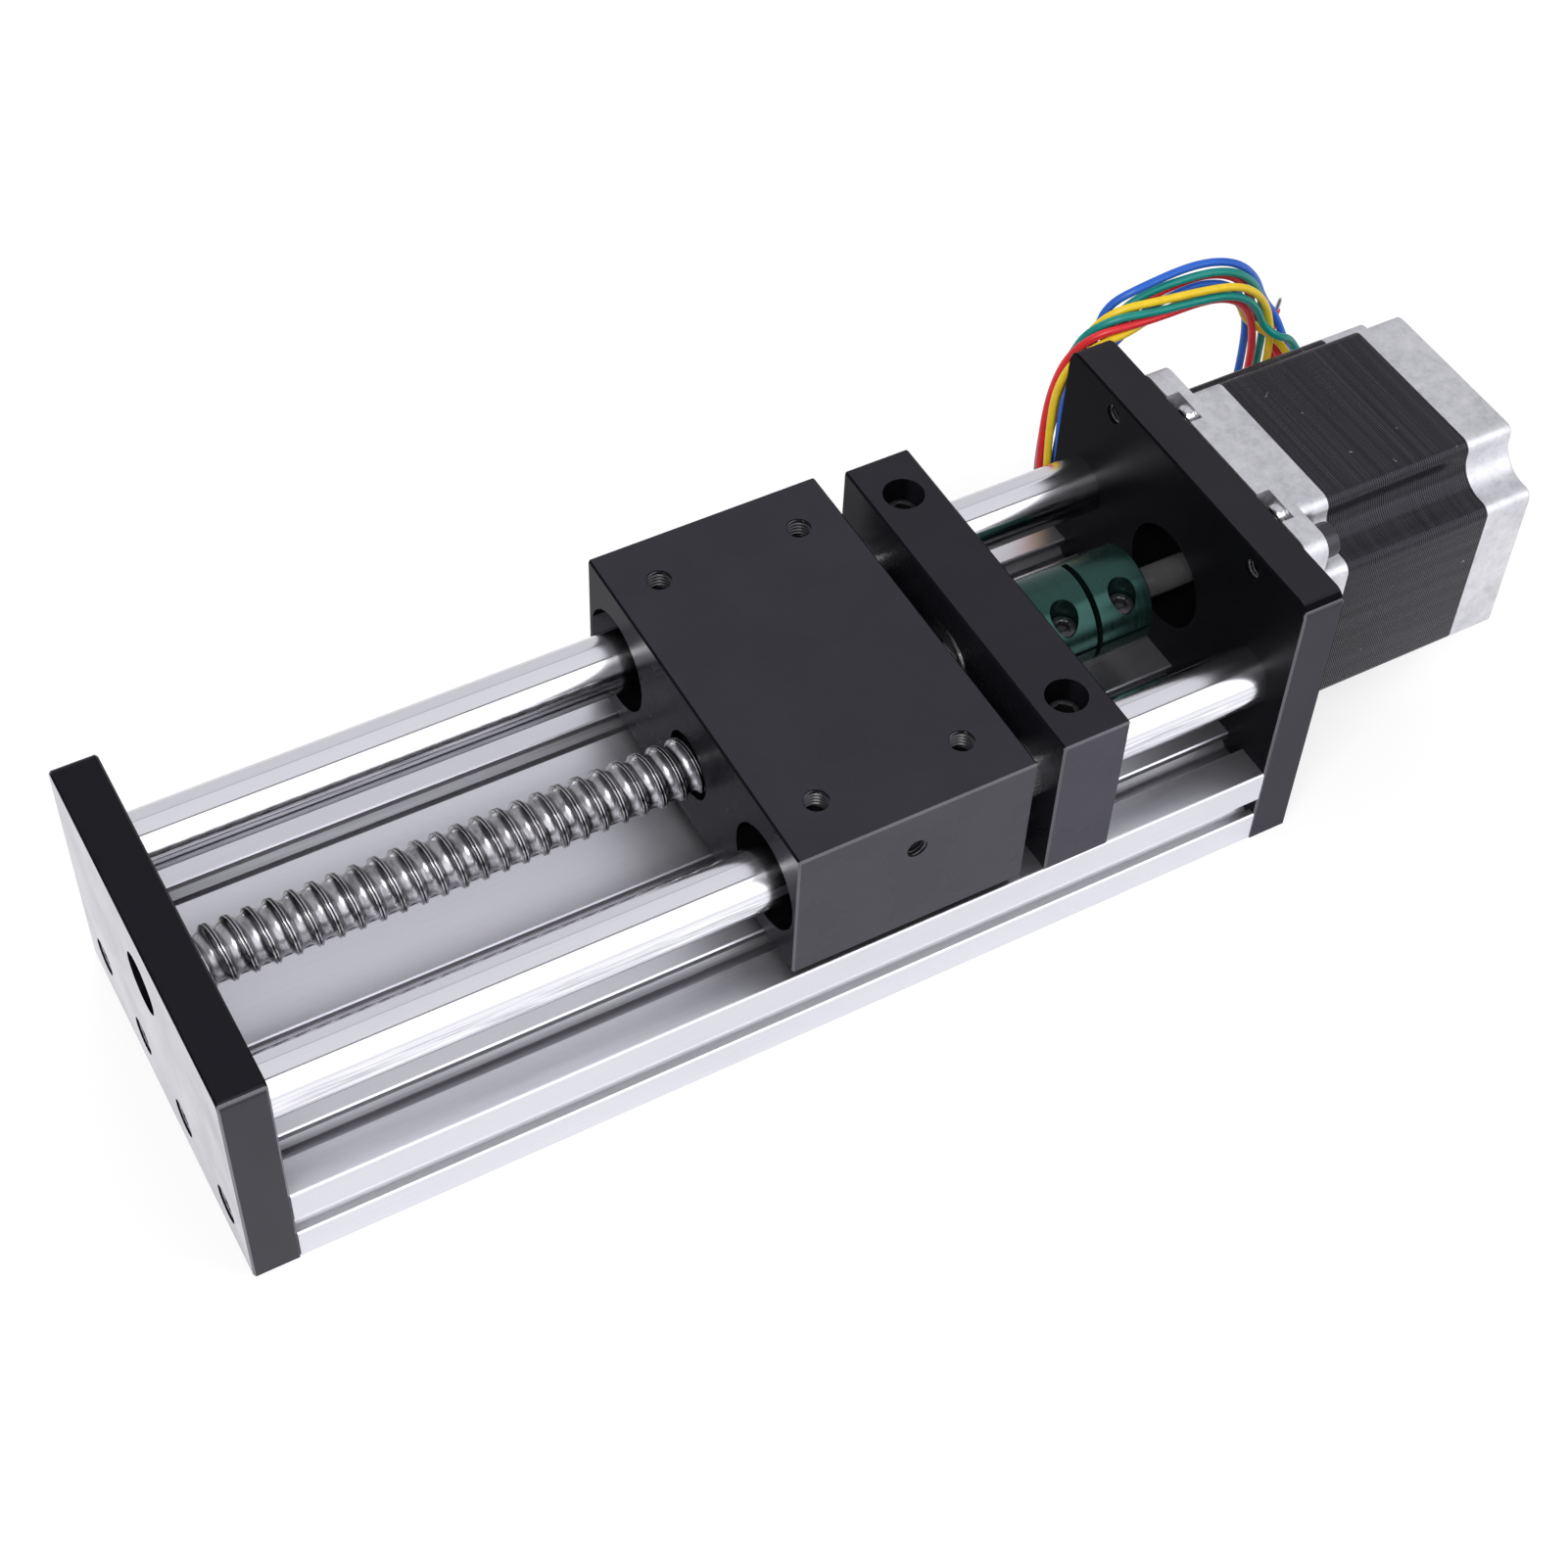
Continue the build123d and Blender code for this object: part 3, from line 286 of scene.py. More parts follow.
def rolled_steel():
    """Steel of the ball screw: bright land with dark lines of painted shade along its rolled seam and its
    edges, soft mottled grooves.
    """
    g = Graph("rolled_screw_steel")
    place = g.place()
    angle = g.math("ARCTAN2", g.math("SUBTRACT", place["Z"], AXIS_Z * MM), place["Y"])
    along = g.math("DIVIDE", g.math("ADD", place["X"], -X_HELIX * MM), LEAD * MM)
    phase = g.math("FRACT", g.math("SUBTRACT", along, g.math("DIVIDE", angle, math.tau)))
    off = g.math("ABSOLUTE", g.math("SUBTRACT", phase, 0.5))
    fine = g.noise(5200.0, (1, 0.12, 0.12))
    spots = g.noise(620.0, (1.0, 0.45, 0.45), detail=3.0, rough=0.6)
    steel = g.ramp(fine, [(0.25, (0.355, 0.350, 0.360)), (0.75, (0.430, 0.425, 0.435))])
    marks = g.ramp(spots, [(0.36, (0.50, 0.495, 0.50)), (0.56, (1.0, 1.0, 1.0))])
    # Dark lines along the rolled seam in the middle of the land and along the land's edges: painted shade.
    dark_lines = g.ramp(off, [(0.352, 1.0), (0.366, 0.22), (0.378, 0.22), (0.392, 1.0), (0.462, 1.0),
                         (0.474, 0.10), (0.500, 0.10)])
    colour = g.blend(0.9, steel, marks, "MULTIPLY")
    dull = g.ramp(g.noise(210.0), [(0.35, 0.23), (0.65, 0.33)])
    land = g.ramp(off, [(0.30, 0.0), (0.37, 1.0)])
    return g.principled({
        "Base Color": g.blend(1.0, colour, dark_lines, "MULTIPLY"), "Metallic": 1.0,
        "Roughness": g.mean(land, dull, 0.22),
        "Normal": g.bump(fine, 0.02, FINE_DEPTH),
    })


def lamination_paint():
    """Black paint over the stack: fine lines across it, grinding marks on its sides; the hollows at its
    corners get a darker painted shade.
    """
    g = Graph("painted_laminations")
    across = g.noise(1900.0, (1, 0.01, 0.01), detail=1.0)
    along = g.noise(760.0, (0.02, 1, 1), detail=1.0)
    grain = g.noise(2600.0)
    marks = g.mean(g.math("ABSOLUTE", g.facing()["Y"]), across, along)
    both = g.mean(0.16, marks, grain)
    colour = g.ramp(both, [(0.32, (0.0085, 0.0082, 0.0100)), (0.52, (0.0170, 0.0165, 0.0200)),
                           (0.70, (0.030, 0.029, 0.034))])
    chips = g.ramp(g.noise(420.0, detail=2.0), [(0.735, 0.0), (0.755, 1.0)])
    colour = g.blend(chips, colour, (0.20, 0.20, 0.21, 1))
    place = g.place()
    height = g.math("ABSOLUTE", g.math("SUBTRACT", place["Z"], AXIS_Z * MM))
    corner = g.math("MINIMUM", height, g.math("ABSOLUTE", place["Y"]))
    # The concave corners of the stack get a darker tone and a weaker reflection: painted shade.
    flute_shade = g.scaled(corner, from_min=20.5 * MM, from_max=22.5 * MM)
    return g.principled({
        "Base Color": g.blend(flute_shade, colour, (0.0060, 0.0058, 0.0070, 1)), "Metallic": 0.0,
        "IOR": g.scaled(flute_shade, to_min=1.45, to_max=1.22), "Specular Tint": (0.93, 0.91, 1.0, 1),
        "Roughness": g.ramp(grain, [(0.2, 0.20), (0.8, 0.34)]),
        "Normal": g.bump(both, 0.10, 0.04 * MM),
    })


def insulation(name, colour):
    """Soft glossy wire insulation."""
    g = Graph(name)
    return g.principled({
        "Base Color": g.ramp(g.noise(500.0), [(0.3, tuple(c * 0.86 for c in colour)), (0.7, colour)]),
        "Metallic": 0.0, "IOR": 1.46,
        "Roughness": g.ramp(g.noise(1500.0), [(0.3, 0.28), (0.7, 0.40)]),
    })


# Both rods take the same chrome; only the level of the painted reflection on the lower near side differs,
# lighter on the near rod, darker on the far one.
CHROME_NEAR = chromed_rod("chromed_rod_near", 0.80)
CHROME_FAR = chromed_rod("chromed_rod_far", 0.34)
# Four copies of one black anodising: their colours differ part by part, as painted light and shade on each
# part.
ANODISED_TABLE = anodised("black_anodised_table", (0.0105, 0.0100, 0.0135), (0.0335, 0.0325, 0.0400),
                          (0.0790, 0.0765, 0.0900), 0.28, 1.11, TABLE_TOP)
ANODISED_BLOCK = anodised("black_anodised_block", (0.0105, 0.0100, 0.0135), (0.0255, 0.0245, 0.0300),
                          (0.0760, 0.0735, 0.0910), 0.28, 1.11, BLOCK_TOP)
ANODISED_END = anodised("black_anodised_end", (0.0040, 0.0038, 0.0058), (0.0030, 0.0028, 0.0046),
                        (0.030, 0.029, 0.036), 0.20, 1.30, END_TOP)
ANODISED_PLATE = anodised("black_anodised_plate", (0.0046, 0.0044, 0.0060), (0.0262, 0.0255, 0.0297),
                          (0.058, 0.056, 0.068), 0.38, 1.085, MOTOR_PLATE_TOP)
ANODISED_CLEAR = extrusion()
CAST = cast_alloy()
SCREW_STEEL = rolled_steel()
LAMINATIONS = lamination_paint()
THREAD_EDGE = metal("thread_edge", (0.045, 0.044, 0.048), 0.30, metallic=0.5, scale=2600.0, tint=0.2)
# Bright material for hole mouths and the motor plate's threads: partly bare metal edge, partly painted
# highlight.
HOLE_EDGE_AND_HIGHLIGHT = metal("hole_edge_and_highlight", (0.240, 0.236, 0.252), 0.26, metallic=0.8, scale=2600.0, tint=0.2)
GROUND = metal("ground_steel", (0.60, 0.595, 0.585), 0.20, scale=1800.0, spread=0.06, tint=0.06, bump=0.04)
# Darker than the other steel: partly the nut's own dark steel, partly painted shade where it shows in the gap
# by the block.
NUT_STEEL = metal("hardened_nut_steel", (0.235, 0.232, 0.235), 0.24, scale=2600.0, spread=0.07, tint=0.15,
                  bump=0.10)
# A darker copy of the ground steel for the motor shaft: painted shade.
SHAFT_STEEL = metal("ground_shaft", (0.36, 0.35, 0.36), 0.13, metallic=0.80, stretch=(1, 0.05, 0.05),
                    scale=2200.0, spread=0.01, tint=0.02, bump=0)
BLACK_SCREW = metal("black_oxide", (0.058, 0.056, 0.062), 0.32, metallic=0.7, scale=3000.0, spread=0.08,
                    tint=0.2, bump=0.12)
# A darker copy of the black oxide for the grub screws sunk in the block: painted shade.
GRUB_SHADE = metal("black_oxide_shaded", (0.010, 0.0095, 0.011), 0.45, metallic=0.3, scale=3000.0, tint=0.2)
BRIGHT_SCREW = metal("zinc_plate", (0.66, 0.66, 0.67), 0.20, scale=2500.0, spread=0.08, bump=0.06)
GREEN = metal("green_anodised", (0.027, 0.074, 0.062), 0.24, metallic=0.85, stretch=(1, 0.04, 0.04),
              scale=4200.0, spread=0.06, tint=0.12, bump=0.10)
RUBBER = metal("seal_rubber", (0.018, 0.018, 0.020), 0.60, metallic=0.0, scale=2500.0, bump=0.15)
RESIN = metal("cage_resin", (0.62, 0.60, 0.53), 0.45, metallic=0.0, scale=2000.0, bump=0.05)
COPPER = metal("winding_wire", (0.50, 0.20, 0.10), 0.35, metallic=0.8, stretch=(1, 0.1, 0.1), scale=4000.0,
               bump=0.5, depth=0.1 * MM)
TINNED = metal("tinned_strands", (0.72, 0.70, 0.68), 0.30, stretch=(1, 1, 0.1), scale=5000.0, bump=0.3)
LEAD_COLOURS = {
    "red": (0.74, 0.024, 0.034),
    "blue": (0.014, 0.122, 0.600),
    "yellow": (0.88, 0.610, 0.018),
    "teal": (0.001, 0.250, 0.215),
}

give(ANODISED_TABLE, "carriage_table")
give(ANODISED_BLOCK, "bearing_block")
give(ANODISED_END, "end_plate")
give(ANODISED_PLATE, "motor_plate")
give(ANODISED_CLEAR, "base_profile")
give(CHROME_NEAR, "guide_rod_near")
give(CHROME_FAR, "guide_rod_far")
give(SHAFT_STEEL, "motor_shaft")
give(GROUND, "screw_bearing_outer_rings", "screw_bearing_inner_rings", "bearing_spacer", "preload_collar",
     "motor_bearing_outer_rings", "motor_bearing_inner_rings", "linear_bearing_near", "linear_bearing_far",
     "motor_rotor")
give(NUT_STEEL, "ball_nut")
give(BLACK_SCREW, "retaining_rings")
give(GREEN, "shaft_coupling")
give(CAST, "motor_front_cap", "motor_rear_cap")
give(RUBBER, "screw_bearing_seals", "linear_bearing_seals", "ball_return_inserts")
give(RESIN, "linear_bearing_cages", "nut_wipers")
give(COPPER, "motor_windings")


# ---------------------------------------------------------------- mesh helpers
def skin(bm, loops):
    """Join a row of loops, in mm, with faces; a loop of one point closes an end."""
    made = [[bm.verts.new(Vector(place) * MM) for place in loop] for loop in loops]
    for here, there in zip(made, made[1:]):
        for k in range(max(len(here), len(there))):
            corners = (here[k % len(here)], here[(k + 1) % len(here)],
                       there[(k + 1) % len(there)], there[k % len(there)])
            face = []
            for corner in corners:
                if corner not in face:
                    face.append(corner)
            bm.faces.new(face)
    return made


def turned(bm, at, way, profile, steps=48):
    """Turned form along a direction; a radius may be a function of the angle, the step and the place."""
    at = Vector(at)
    way = Vector(way).normalized()
    side = way.orthogonal().normalized()
    other = way.cross(side)
    loops = []
    for along, radius in profile:
        centre = at + way * along
        if not callable(radius) and radius == 0:
            loops.append([centre])
            continue
        ring = []
        for k in range(steps):
            angle = math.tau * k / steps
            reach = radius(angle, k) if callable(radius) else radius
            ring.append(centre + (side * math.cos(angle) + other * math.sin(angle)) * reach)
        loops.append(ring)
    return skin(bm, loops)


def hexagon(half_key):
    """Radius of a hexagon, for turned()."""
    return lambda angle, k: half_key / math.cos((angle + math.pi / 6) % (math.pi / 3) - math.pi / 6)


def ridged(root, crest, along, pitch, fade):
    """Radius of a thread at one station, for turned()."""
    def radius(angle, k):
        phase = (along / pitch - angle / math.tau) % 1.0
        return root + (crest - root) * fade * min(1.0, 2.6 * (1.0 - abs(2.0 * phase - 1.0)))
    return radius


def thread_profile(root, crest, start, end, pitch, per_turn=6):
    """Stations of a thread that runs out at both ends."""
    count = round((end - start) / pitch * per_turn)
    stations = []
    for k in range(count + 1):
        along = start + (end - start) * k / count
        fade = min(1.0, (along - start) / pitch, (end - along) / pitch)
        stations.append((along, ridged(root, crest, along, pitch, max(0.0, fade))))
    return stations


def piece_from(name, bm, body, slot, material, *replaced, sharp=32.0):
    """Closed mesh, shaded smooth up to an angle, riding on a body."""
    bmesh.ops.recalc_face_normals(bm, faces=bm.faces)
    mesh = bpy.data.meshes.new(name)
    bm.to_mesh(mesh)
    bm.free()
    mesh.shade_smooth()
    mesh.set_sharp_from_angle(angle=math.radians(sharp))
    mesh.materials.append(material)
    piece = bpy.data.objects.new(name, mesh)
    bpy.context.scene.collection.objects.link(piece)
    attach(piece, body)
    if replaced:
        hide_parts(*replaced)
    return piece


# ---------------------------------------------------------------- ball screw
SCREW_R = 5.75
GROOVE_R = 1.66
GROOVE_ROOT = 4.72
GROOVE_HALF = 1.44
GROOVE_STEPS = 16
HELIX_TURNS, HELIX_AROUND = 46, 60
LAND = [(0.0, 5.46), (0.06, 5.47), (0.10, 5.66), (0.15, 5.73), (0.24, SCREW_R), (0.36, SCREW_R), (0.44, 5.73),
        (0.475, 5.63), (0.51, 5.60)]


def ball_groove():
    """One lead of the screw, as (place along it, radius): the land with its rolled seam, then the groove."""
    centre = GROOVE_ROOT + GROOVE_R
    widest = math.asin(GROOVE_HALF / GROOVE_R)
    arc = []
    for k in range(GROOVE_STEPS + 1):
        angle = widest * (2 * k / GROOVE_STEPS - 1)
        arc.append((LEAD / 2 + GROOVE_R * math.sin(angle), centre - GROOVE_R * math.cos(angle)))
    back = [(LEAD - along, radius) for along, radius in reversed(LAND[1:])]
    return LAND + arc + back


def helical_grid(bm, profile, x_from, turns, around):
    """Surface swept by a profile along a right-hand helix about the drive axis."""
    rows = [(turn * LEAD + along, radius) for turn in range(turns) for along, radius in profile]
    per_turn = len(profile)
    grid = []
    for along, radius in rows:
        ring = []
        for j in range(around):
            angle = math.tau * j / around
            x = x_from + along + LEAD * j / around
            place = Vector((x, radius * math.cos(angle), AXIS_Z + radius * math.sin(angle)))
            ring.append(bm.verts.new(place * MM))
        grid.append(ring)
    for i in range(len(rows) - 1):
        for j in range(around - 1):
            bm.faces.new((grid[i][j], grid[i + 1][j], grid[i + 1][j + 1], grid[i][j + 1]))
        if i + 1 + per_turn < len(rows):
            bm.faces.new((grid[i][-1], grid[i + 1][-1], grid[i + 1 + per_turn][0], grid[i + per_turn][0]))


def cut_flat(bm, x, way):
    """Cut the mesh at a station and close the cut."""
    everything = bm.verts[:] + bm.edges[:] + bm.faces[:]
    bmesh.ops.bisect_plane(bm, geom=everything, dist=1e-7, plane_co=Vector((x, 0, 0)) * MM,
                           plane_no=(way, 0, 0), clear_outer=True)
    rim = [edge for edge in bm.edges
           if edge.is_boundary and all(abs(vert.co.x - x * MM) < 1e-6 for vert in edge.verts)]
    bmesh.ops.holes_fill(bm, edges=rim, sides=0)


bm = bmesh.new()
helical_grid(bm, ball_groove(), X_HELIX, HELIX_TURNS, HELIX_AROUND)
cut_flat(bm, X_BASE, -1)
cut_flat(bm, X_BLOCK_0, 1)
bmesh.ops.delete(bm, geom=[v for v in bm.verts if not v.link_faces], context="VERTS")
END_JOURNAL = [(-134.0, 0), (-134.0, 3.6), (-133.6, 4.0), (-129.5, 4.0), (-129.5, 0)]
DRIVE_JOURNAL = [(22.5, 0), (22.5, 4.0), (51.25, 4.0), (51.65, 3.6), (51.65, 0)]
for journal in (END_JOURNAL, DRIVE_JOURNAL):
    turned(bm, (0, 0, AXIS_Z), (1, 0, 0), journal)
piece_from("ball_screw_thread", bm, "screw", "ground_screw", SCREW_STEEL, "ball_screw", sharp=40.0)


# ---------------------------------------------------------------- screws
# Half the thread's diameter, head radius, head height, half the key's width, socket depth, pitch.
M3 = (1.5, 2.75, 3.0, 1.25, 1.5, 0.5)
M4 = (2.0, 3.5, 4.0, 1.5, 2.0, 0.7)
SIDES = (-1, 1)


def cap_screw(bm, seat, way, size, length):
    """Cap screw: knurled head, hexagon socket with a chamfered mouth, threaded shank behind the seat."""
    half, head_r, head_h, key, depth, pitch = size

    def knurl(angle, k):
        return head_r - (0.10 if k % 2 else 0.0)

    mouth = key / math.cos(math.pi / 6) + 0.12
    head = [
        (-0.05, 0), (0.0, head_r - 0.25), (0.18, head_r - 0.04), (0.30, knurl), (head_h * 0.80, knurl),
        (head_h * 0.86, head_r - 0.03), (head_h - 0.16, head_r - 0.10), (head_h, head_r - 0.38),
        (head_h, mouth), (head_h - 0.18, hexagon(key)), (head_h - depth, hexagon(key)),
        (head_h - depth - 0.35, 0),
    ]
    turned(bm, seat, way, head, 72)
    back = -Vector(way)
    shank = [(-0.2, 0), (-0.2, half * 0.9)]
    shank += thread_profile(half * 0.80, half * 0.99, 0.0, length - 0.3, pitch)
    shank += [(length - 0.05, half * 0.62), (length, half * 0.55), (length, 0)]
    turned(bm, seat, back, shank, 24)


def pan_screw(bm, seat, way, head_r, head_h, half, length):
    """Pan head screw with a cross recess."""
    slopes = [math.radians(8 * k) for k in range(1, 9)]
    crown = [(head_h * math.sin(slope), head_r * math.cos(slope) ** 0.7) for slope in slopes]

    def cross(width, reach):
        def radius(angle, k):
            quarter = (angle + math.pi / 4) % (math.pi / 2) - math.pi / 4
            return min(reach, max(width * 1.25, width / max(0.05, abs(math.sin(quarter)))))
        return radius

    top = crown[-1][0]
    head = [(-0.05, 0), (0.0, head_r - 0.1), (0.12, head_r)] + crown
    head += [(top + 0.03, cross(0.40, 1.42)), (top - 0.55, cross(0.30, 0.90)),
             (top - 0.95, cross(0.22, 0.40)), (top - 1.05, 0)]
    turned(bm, seat, way, head, 64)
    shank = [(-0.2, 0), (-0.2, half), (length - 0.3, half), (length, half * 0.8), (length, 0)]
    turned(bm, seat, -Vector(way), shank, 20)


CORE_YS = (-30.0, -10.0, 10.0, 30.0)
SLOT_Y = 30.0
HEAD_SINK = 4.3
MOTOR_BOLT = 23.57
X_FLANGE = 88.0
NUT_SEAT_X, NUT_BOLT = 13.1, 10.25
COUPLING_X, CLAMP_DX, CLAMP_Y, CLAMP_Z = 52.3, 6.6, -6.0, 41.2
PAN_SEAT_X, PAN_Y, PAN_Z = 85.8, 15.2, 24.9

bm = bmesh.new()
for y in CORE_YS:
    cap_screw(bm, (X_END + HEAD_SINK, y, BASE_MID_Z), (-1, 0, 0), M4, 16.0)
piece_from("end_plate_cap_screws", bm, "frame", "black_screw", BLACK_SCREW, "end_plate_screws")

bm = bmesh.new()
for y in CORE_YS:
    cap_screw(bm, (X_MOTOR - HEAD_SINK, y, BASE_MID_Z), (1, 0, 0), M4, 16.0)
piece_from("motor_plate_cap_screws", bm, "frame", "black_screw", BLACK_SCREW, "motor_plate_screws")

bm = bmesh.new()
for side in SIDES:
    cap_screw(bm, (X_BLOCK_MID, side * SLOT_Y, 4.6), (0, 0, -1), M4, 23.4)
piece_from("block_cap_screws", bm, "frame", "black_screw", BLACK_SCREW, "block_screws")

bm = bmesh.new()
for side, height in ((-1, 1), (-1, -1), (1, -1)):
    cap_screw(bm, (X_FLANGE, side * MOTOR_BOLT, AXIS_Z + height * MOTOR_BOLT), (1, 0, 0), M4, 12.0)
piece_from("motor_cap_screws", bm, "frame", "black_screw", BLACK_SCREW, "motor_mount_screws")

bm = bmesh.new()
for side in SIDES:
    for height in SIDES:
        cap_screw(bm, (NUT_SEAT_X, side * NUT_BOLT, AXIS_Z + height * NUT_BOLT), (1, 0, 0), M3, 10.7)
piece_from("nut_cap_screws", bm, "carriage", "black_screw", BLACK_SCREW, "nut_screws")

bm = bmesh.new()
for side in SIDES:
    cap_screw(bm, (COUPLING_X + side * CLAMP_DX, CLAMP_Y, CLAMP_Z), (0, 0, 1), M3, 7.2)
piece_from("coupling_cap_screws", bm, "screw", "black_screw", BLACK_SCREW, "coupling_clamp_screws")

bm = bmesh.new()
for side in SIDES:
    for height in SIDES:
        pan_screw(bm, (PAN_SEAT_X, side * PAN_Y, AXIS_Z + height * PAN_Z), (-1, 0, 0), 2.75, 2.3, 1.5, 47.0)
piece_from("motor_pan_screws", bm, "frame", "bright_screw", BRIGHT_SCREW, "motor_through_screws")

bm = bmesh.new()
grub = [(-0.05, 0), (0.0, 2.6), (0.35, 3.2)]
grub += thread_profile(3.25, 3.97, 0.35, 5.6, 1.25, 10)
grub += [(5.75, 3.35), (6.0, 3.0), (6.0, 2.45), (5.82, hexagon(2.0)), (3.2, hexagon(2.0)), (2.7, 0)]
for side in SIDES:
    turned(bm, (X_BLOCK_MID, side * ROD_Y, AXIS_Z + 6.0), (0, 0, 1), grub, 48)
piece_from("rod_grub_screws", bm, "frame", "black_screw", GRUB_SHADE, "rod_set_screws")


# ---------------------------------------------------------------- tapped holes
def tapped_hole(bm, at, way, bore, mouth, depth, pitch, around=40):
    """Thread ridges on a hole's wall."""
    turns = (depth - 0.7) / pitch
    count = round(turns * around)
    at = Vector(at)
    way = Vector(way).normalized()
    side = way.orthogonal().normalized()
    other = way.cross(side)
    loops = []
    for k in range(count + 1):
        angle = math.tau * k / around
        sink = 0.45 + pitch * k / around
        rise = 0.30 * min(1.0, k / 10, (count - k) / 10) + 0.01
        spoke = side * math.cos(angle) + other * math.sin(angle)
        loops.append([
            at - way * (sink - pitch * 0.36) + spoke * (bore + 0.03),
            at - way * (sink - pitch * 0.08) + spoke * (bore - rise),
            at - way * (sink + pitch * 0.08) + spoke * (bore - rise),
            at - way * (sink + pitch * 0.36) + spoke * (bore + 0.03),
        ])
    made = skin(bm, loops)
    bm.faces.new(made[0])
    bm.faces.new(made[-1])


def mouth_ring(bm, at, way, bore, mouth):
    """Thin cone on the chamfer of a hole; its bright material stands partly for the bare chamfer and partly
    for a painted highlight.
    """
    slope = mouth - bore
    turned(bm, at, way, [(-0.004, mouth - 0.02), (-slope - 0.02, bore - 0.02), (-slope - 0.06, bore + 0.03),
                         (-0.04, mouth + 0.03), (-0.004, mouth - 0.02)], 64)


TABLE_HALF_W = 41.0
TABLE_HOLE_DX, TABLE_HOLE_Y = 15.0, 30.0
SIDE_HOLE_Z = 46.0
# Bore radius, radius of the mouth, depth, pitch.
M6_HOLE = (2.5, 3.0, 4.8, 0.8)
M5_HOLE = (2.1, 2.5, 4.6, 0.7)
CARRIAGE_HOLES = [((X_CAR + along * TABLE_HOLE_DX, side * TABLE_HOLE_Y, TABLE_TOP), (0, 0, 1), *M6_HOLE)
                  for along in SIDES for side in SIDES]
CARRIAGE_HOLES += [((X_CAR, side * TABLE_HALF_W, SIDE_HOLE_Z), (0, side, 0), *M5_HOLE) for side in SIDES]

bm = bmesh.new()
for hole in CARRIAGE_HOLES:
    tapped_hole(bm, *hole)
piece_from("carriage_threads", bm, "carriage", "black_anodised", THREAD_EDGE)

# Bright cones on the carriage's hole chamfers: partly the bare chamfer, partly painted highlight.
bm = bmesh.new()
for at, way, bore, mouth, depth, pitch in CARRIAGE_HOLES:
    mouth_ring(bm, at, way, bore, mouth)
piece_from("carriage_hole_mouths", bm, "carriage", "black_anodised", HOLE_EDGE_AND_HIGHLIGHT)

# The motor plate's threads take the bright hole material, unlike the carriage's dark threads: painted
# highlight.
bm = bmesh.new()
for side, depth in ((1, 8.4), (-1, 2.1)):
    tapped_hole(bm, (X_PLATE, side * MOTOR_BOLT, AXIS_Z + MOTOR_BOLT), (-1, 0, 0), 2.0, 2.0, depth, 0.7)
piece_from("motor_plate_threads", bm, "frame", "black_anodised", HOLE_EDGE_AND_HIGHLIGHT)


# ---------------------------------------------------------------- motor laminations
SHEET = 0.5
SHEET_GROOVE = 0.12
X_STACK_SLICE = 110.0


def outline_loops(node, x):
    """Closed outlines, in mm, where a node's mesh crosses one station along X."""
    cut = bmesh.new()
    cut.from_mesh(NODES[node].data)
    bmesh.ops.remove_doubles(cut, verts=cut.verts[:], dist=1e-6)
    cut.verts.index_update()
    sliced = bmesh.ops.bisect_plane(cut, geom=cut.verts[:] + cut.edges[:] + cut.faces[:], dist=1e-7,
                                    plane_co=(x * MM, 0, 0), plane_no=(1, 0, 0))
    edges = dict.fromkeys(part for part in sliced["geom_cut"] if isinstance(part, bmesh.types.BMEdge))
    beside = {}
    for edge in edges:
        for vert in edge.verts:
            beside.setdefault(vert, []).append(edge.other_vert(vert))
    loops = []
    seen = set()
    for first in sorted(beside, key=lambda vert: vert.index):
        if first in seen:
            continue
        loop = [first]
        seen.add(first)
        while True:
            onward = [vert for vert in beside[loop[-1]] if vert not in seen]
            if not onward:
                break
            loop.append(onward[0])
            seen.add(onward[0])
        loops.append([(vert.co.y / MM, vert.co.z / MM) for vert in loop])
    cut.free()
    loops.sort(key=lambda loop: -max(abs(y) for y, z in loop))
    return loops


def inset(loop, amount):
    """Outline moved inward, with its corners kept."""
    area = sum(a[0] * b[1] - b[0] * a[1] for a, b in zip(loop, loop[1:] + loop[:1]))
    turn = 1.0 if area > 0 else -1.0
    moved = []
    for before, here, after in zip(loop[-1:] + loop[:-1], loop, loop[1:] + loop[:1]):
        one = Vector((here[0] - before[0], here[1] - before[1])).normalized()
        two = Vector((after[0] - here[0], after[1] - here[1])).normalized()
        normal = Vector((-one.y - two.y, one.x + two.x)).normalized() * turn
        moved.append((here[0] + normal.x * amount, here[1] + normal.y * amount))
    return moved


loops = outline_loops("motor_stator", X_STACK_SLICE)
outer = loops[0]
groove = inset(outer, SHEET_GROOVE)
bm = bmesh.new()
stations = []
sheets = round((X_REAR_CAP - X_FRONT_CAP) / SHEET)
for k in range(sheets):
    x = X_FRONT_CAP + k * SHEET
    stations += [(x + 0.03, groove), (x + 0.10, outer), (x + 0.40, outer), (x + 0.47, groove)]
walls = skin(bm, [[(x, y, z) for y, z in outline] for x, outline in stations])
inner_walls = [skin(bm, [[(x, y, z) for y, z in loop] for x in (stations[0][0], stations[-1][0])])
               for loop in loops[1:]]
for side in (0, -1):
    rims = [walls[side]] + [wall[side] for wall in inner_walls]
    flat = [vert for rim in rims for vert in rim]
    for triangle in tessellate_polygon([[vert.co for vert in rim] for rim in rims]):
        bm.faces.new([flat[k] for k in triangle])
piece_from("motor_laminations", bm, "frame", "painted_laminations", LAMINATIONS, "motor_stator", sharp=25.0)

# ---------------------------------------------------------------- lead outlet
OUTLET_X, OUTLET_Y = 133.5, 30.2
OUTLET_HALF = 2.5


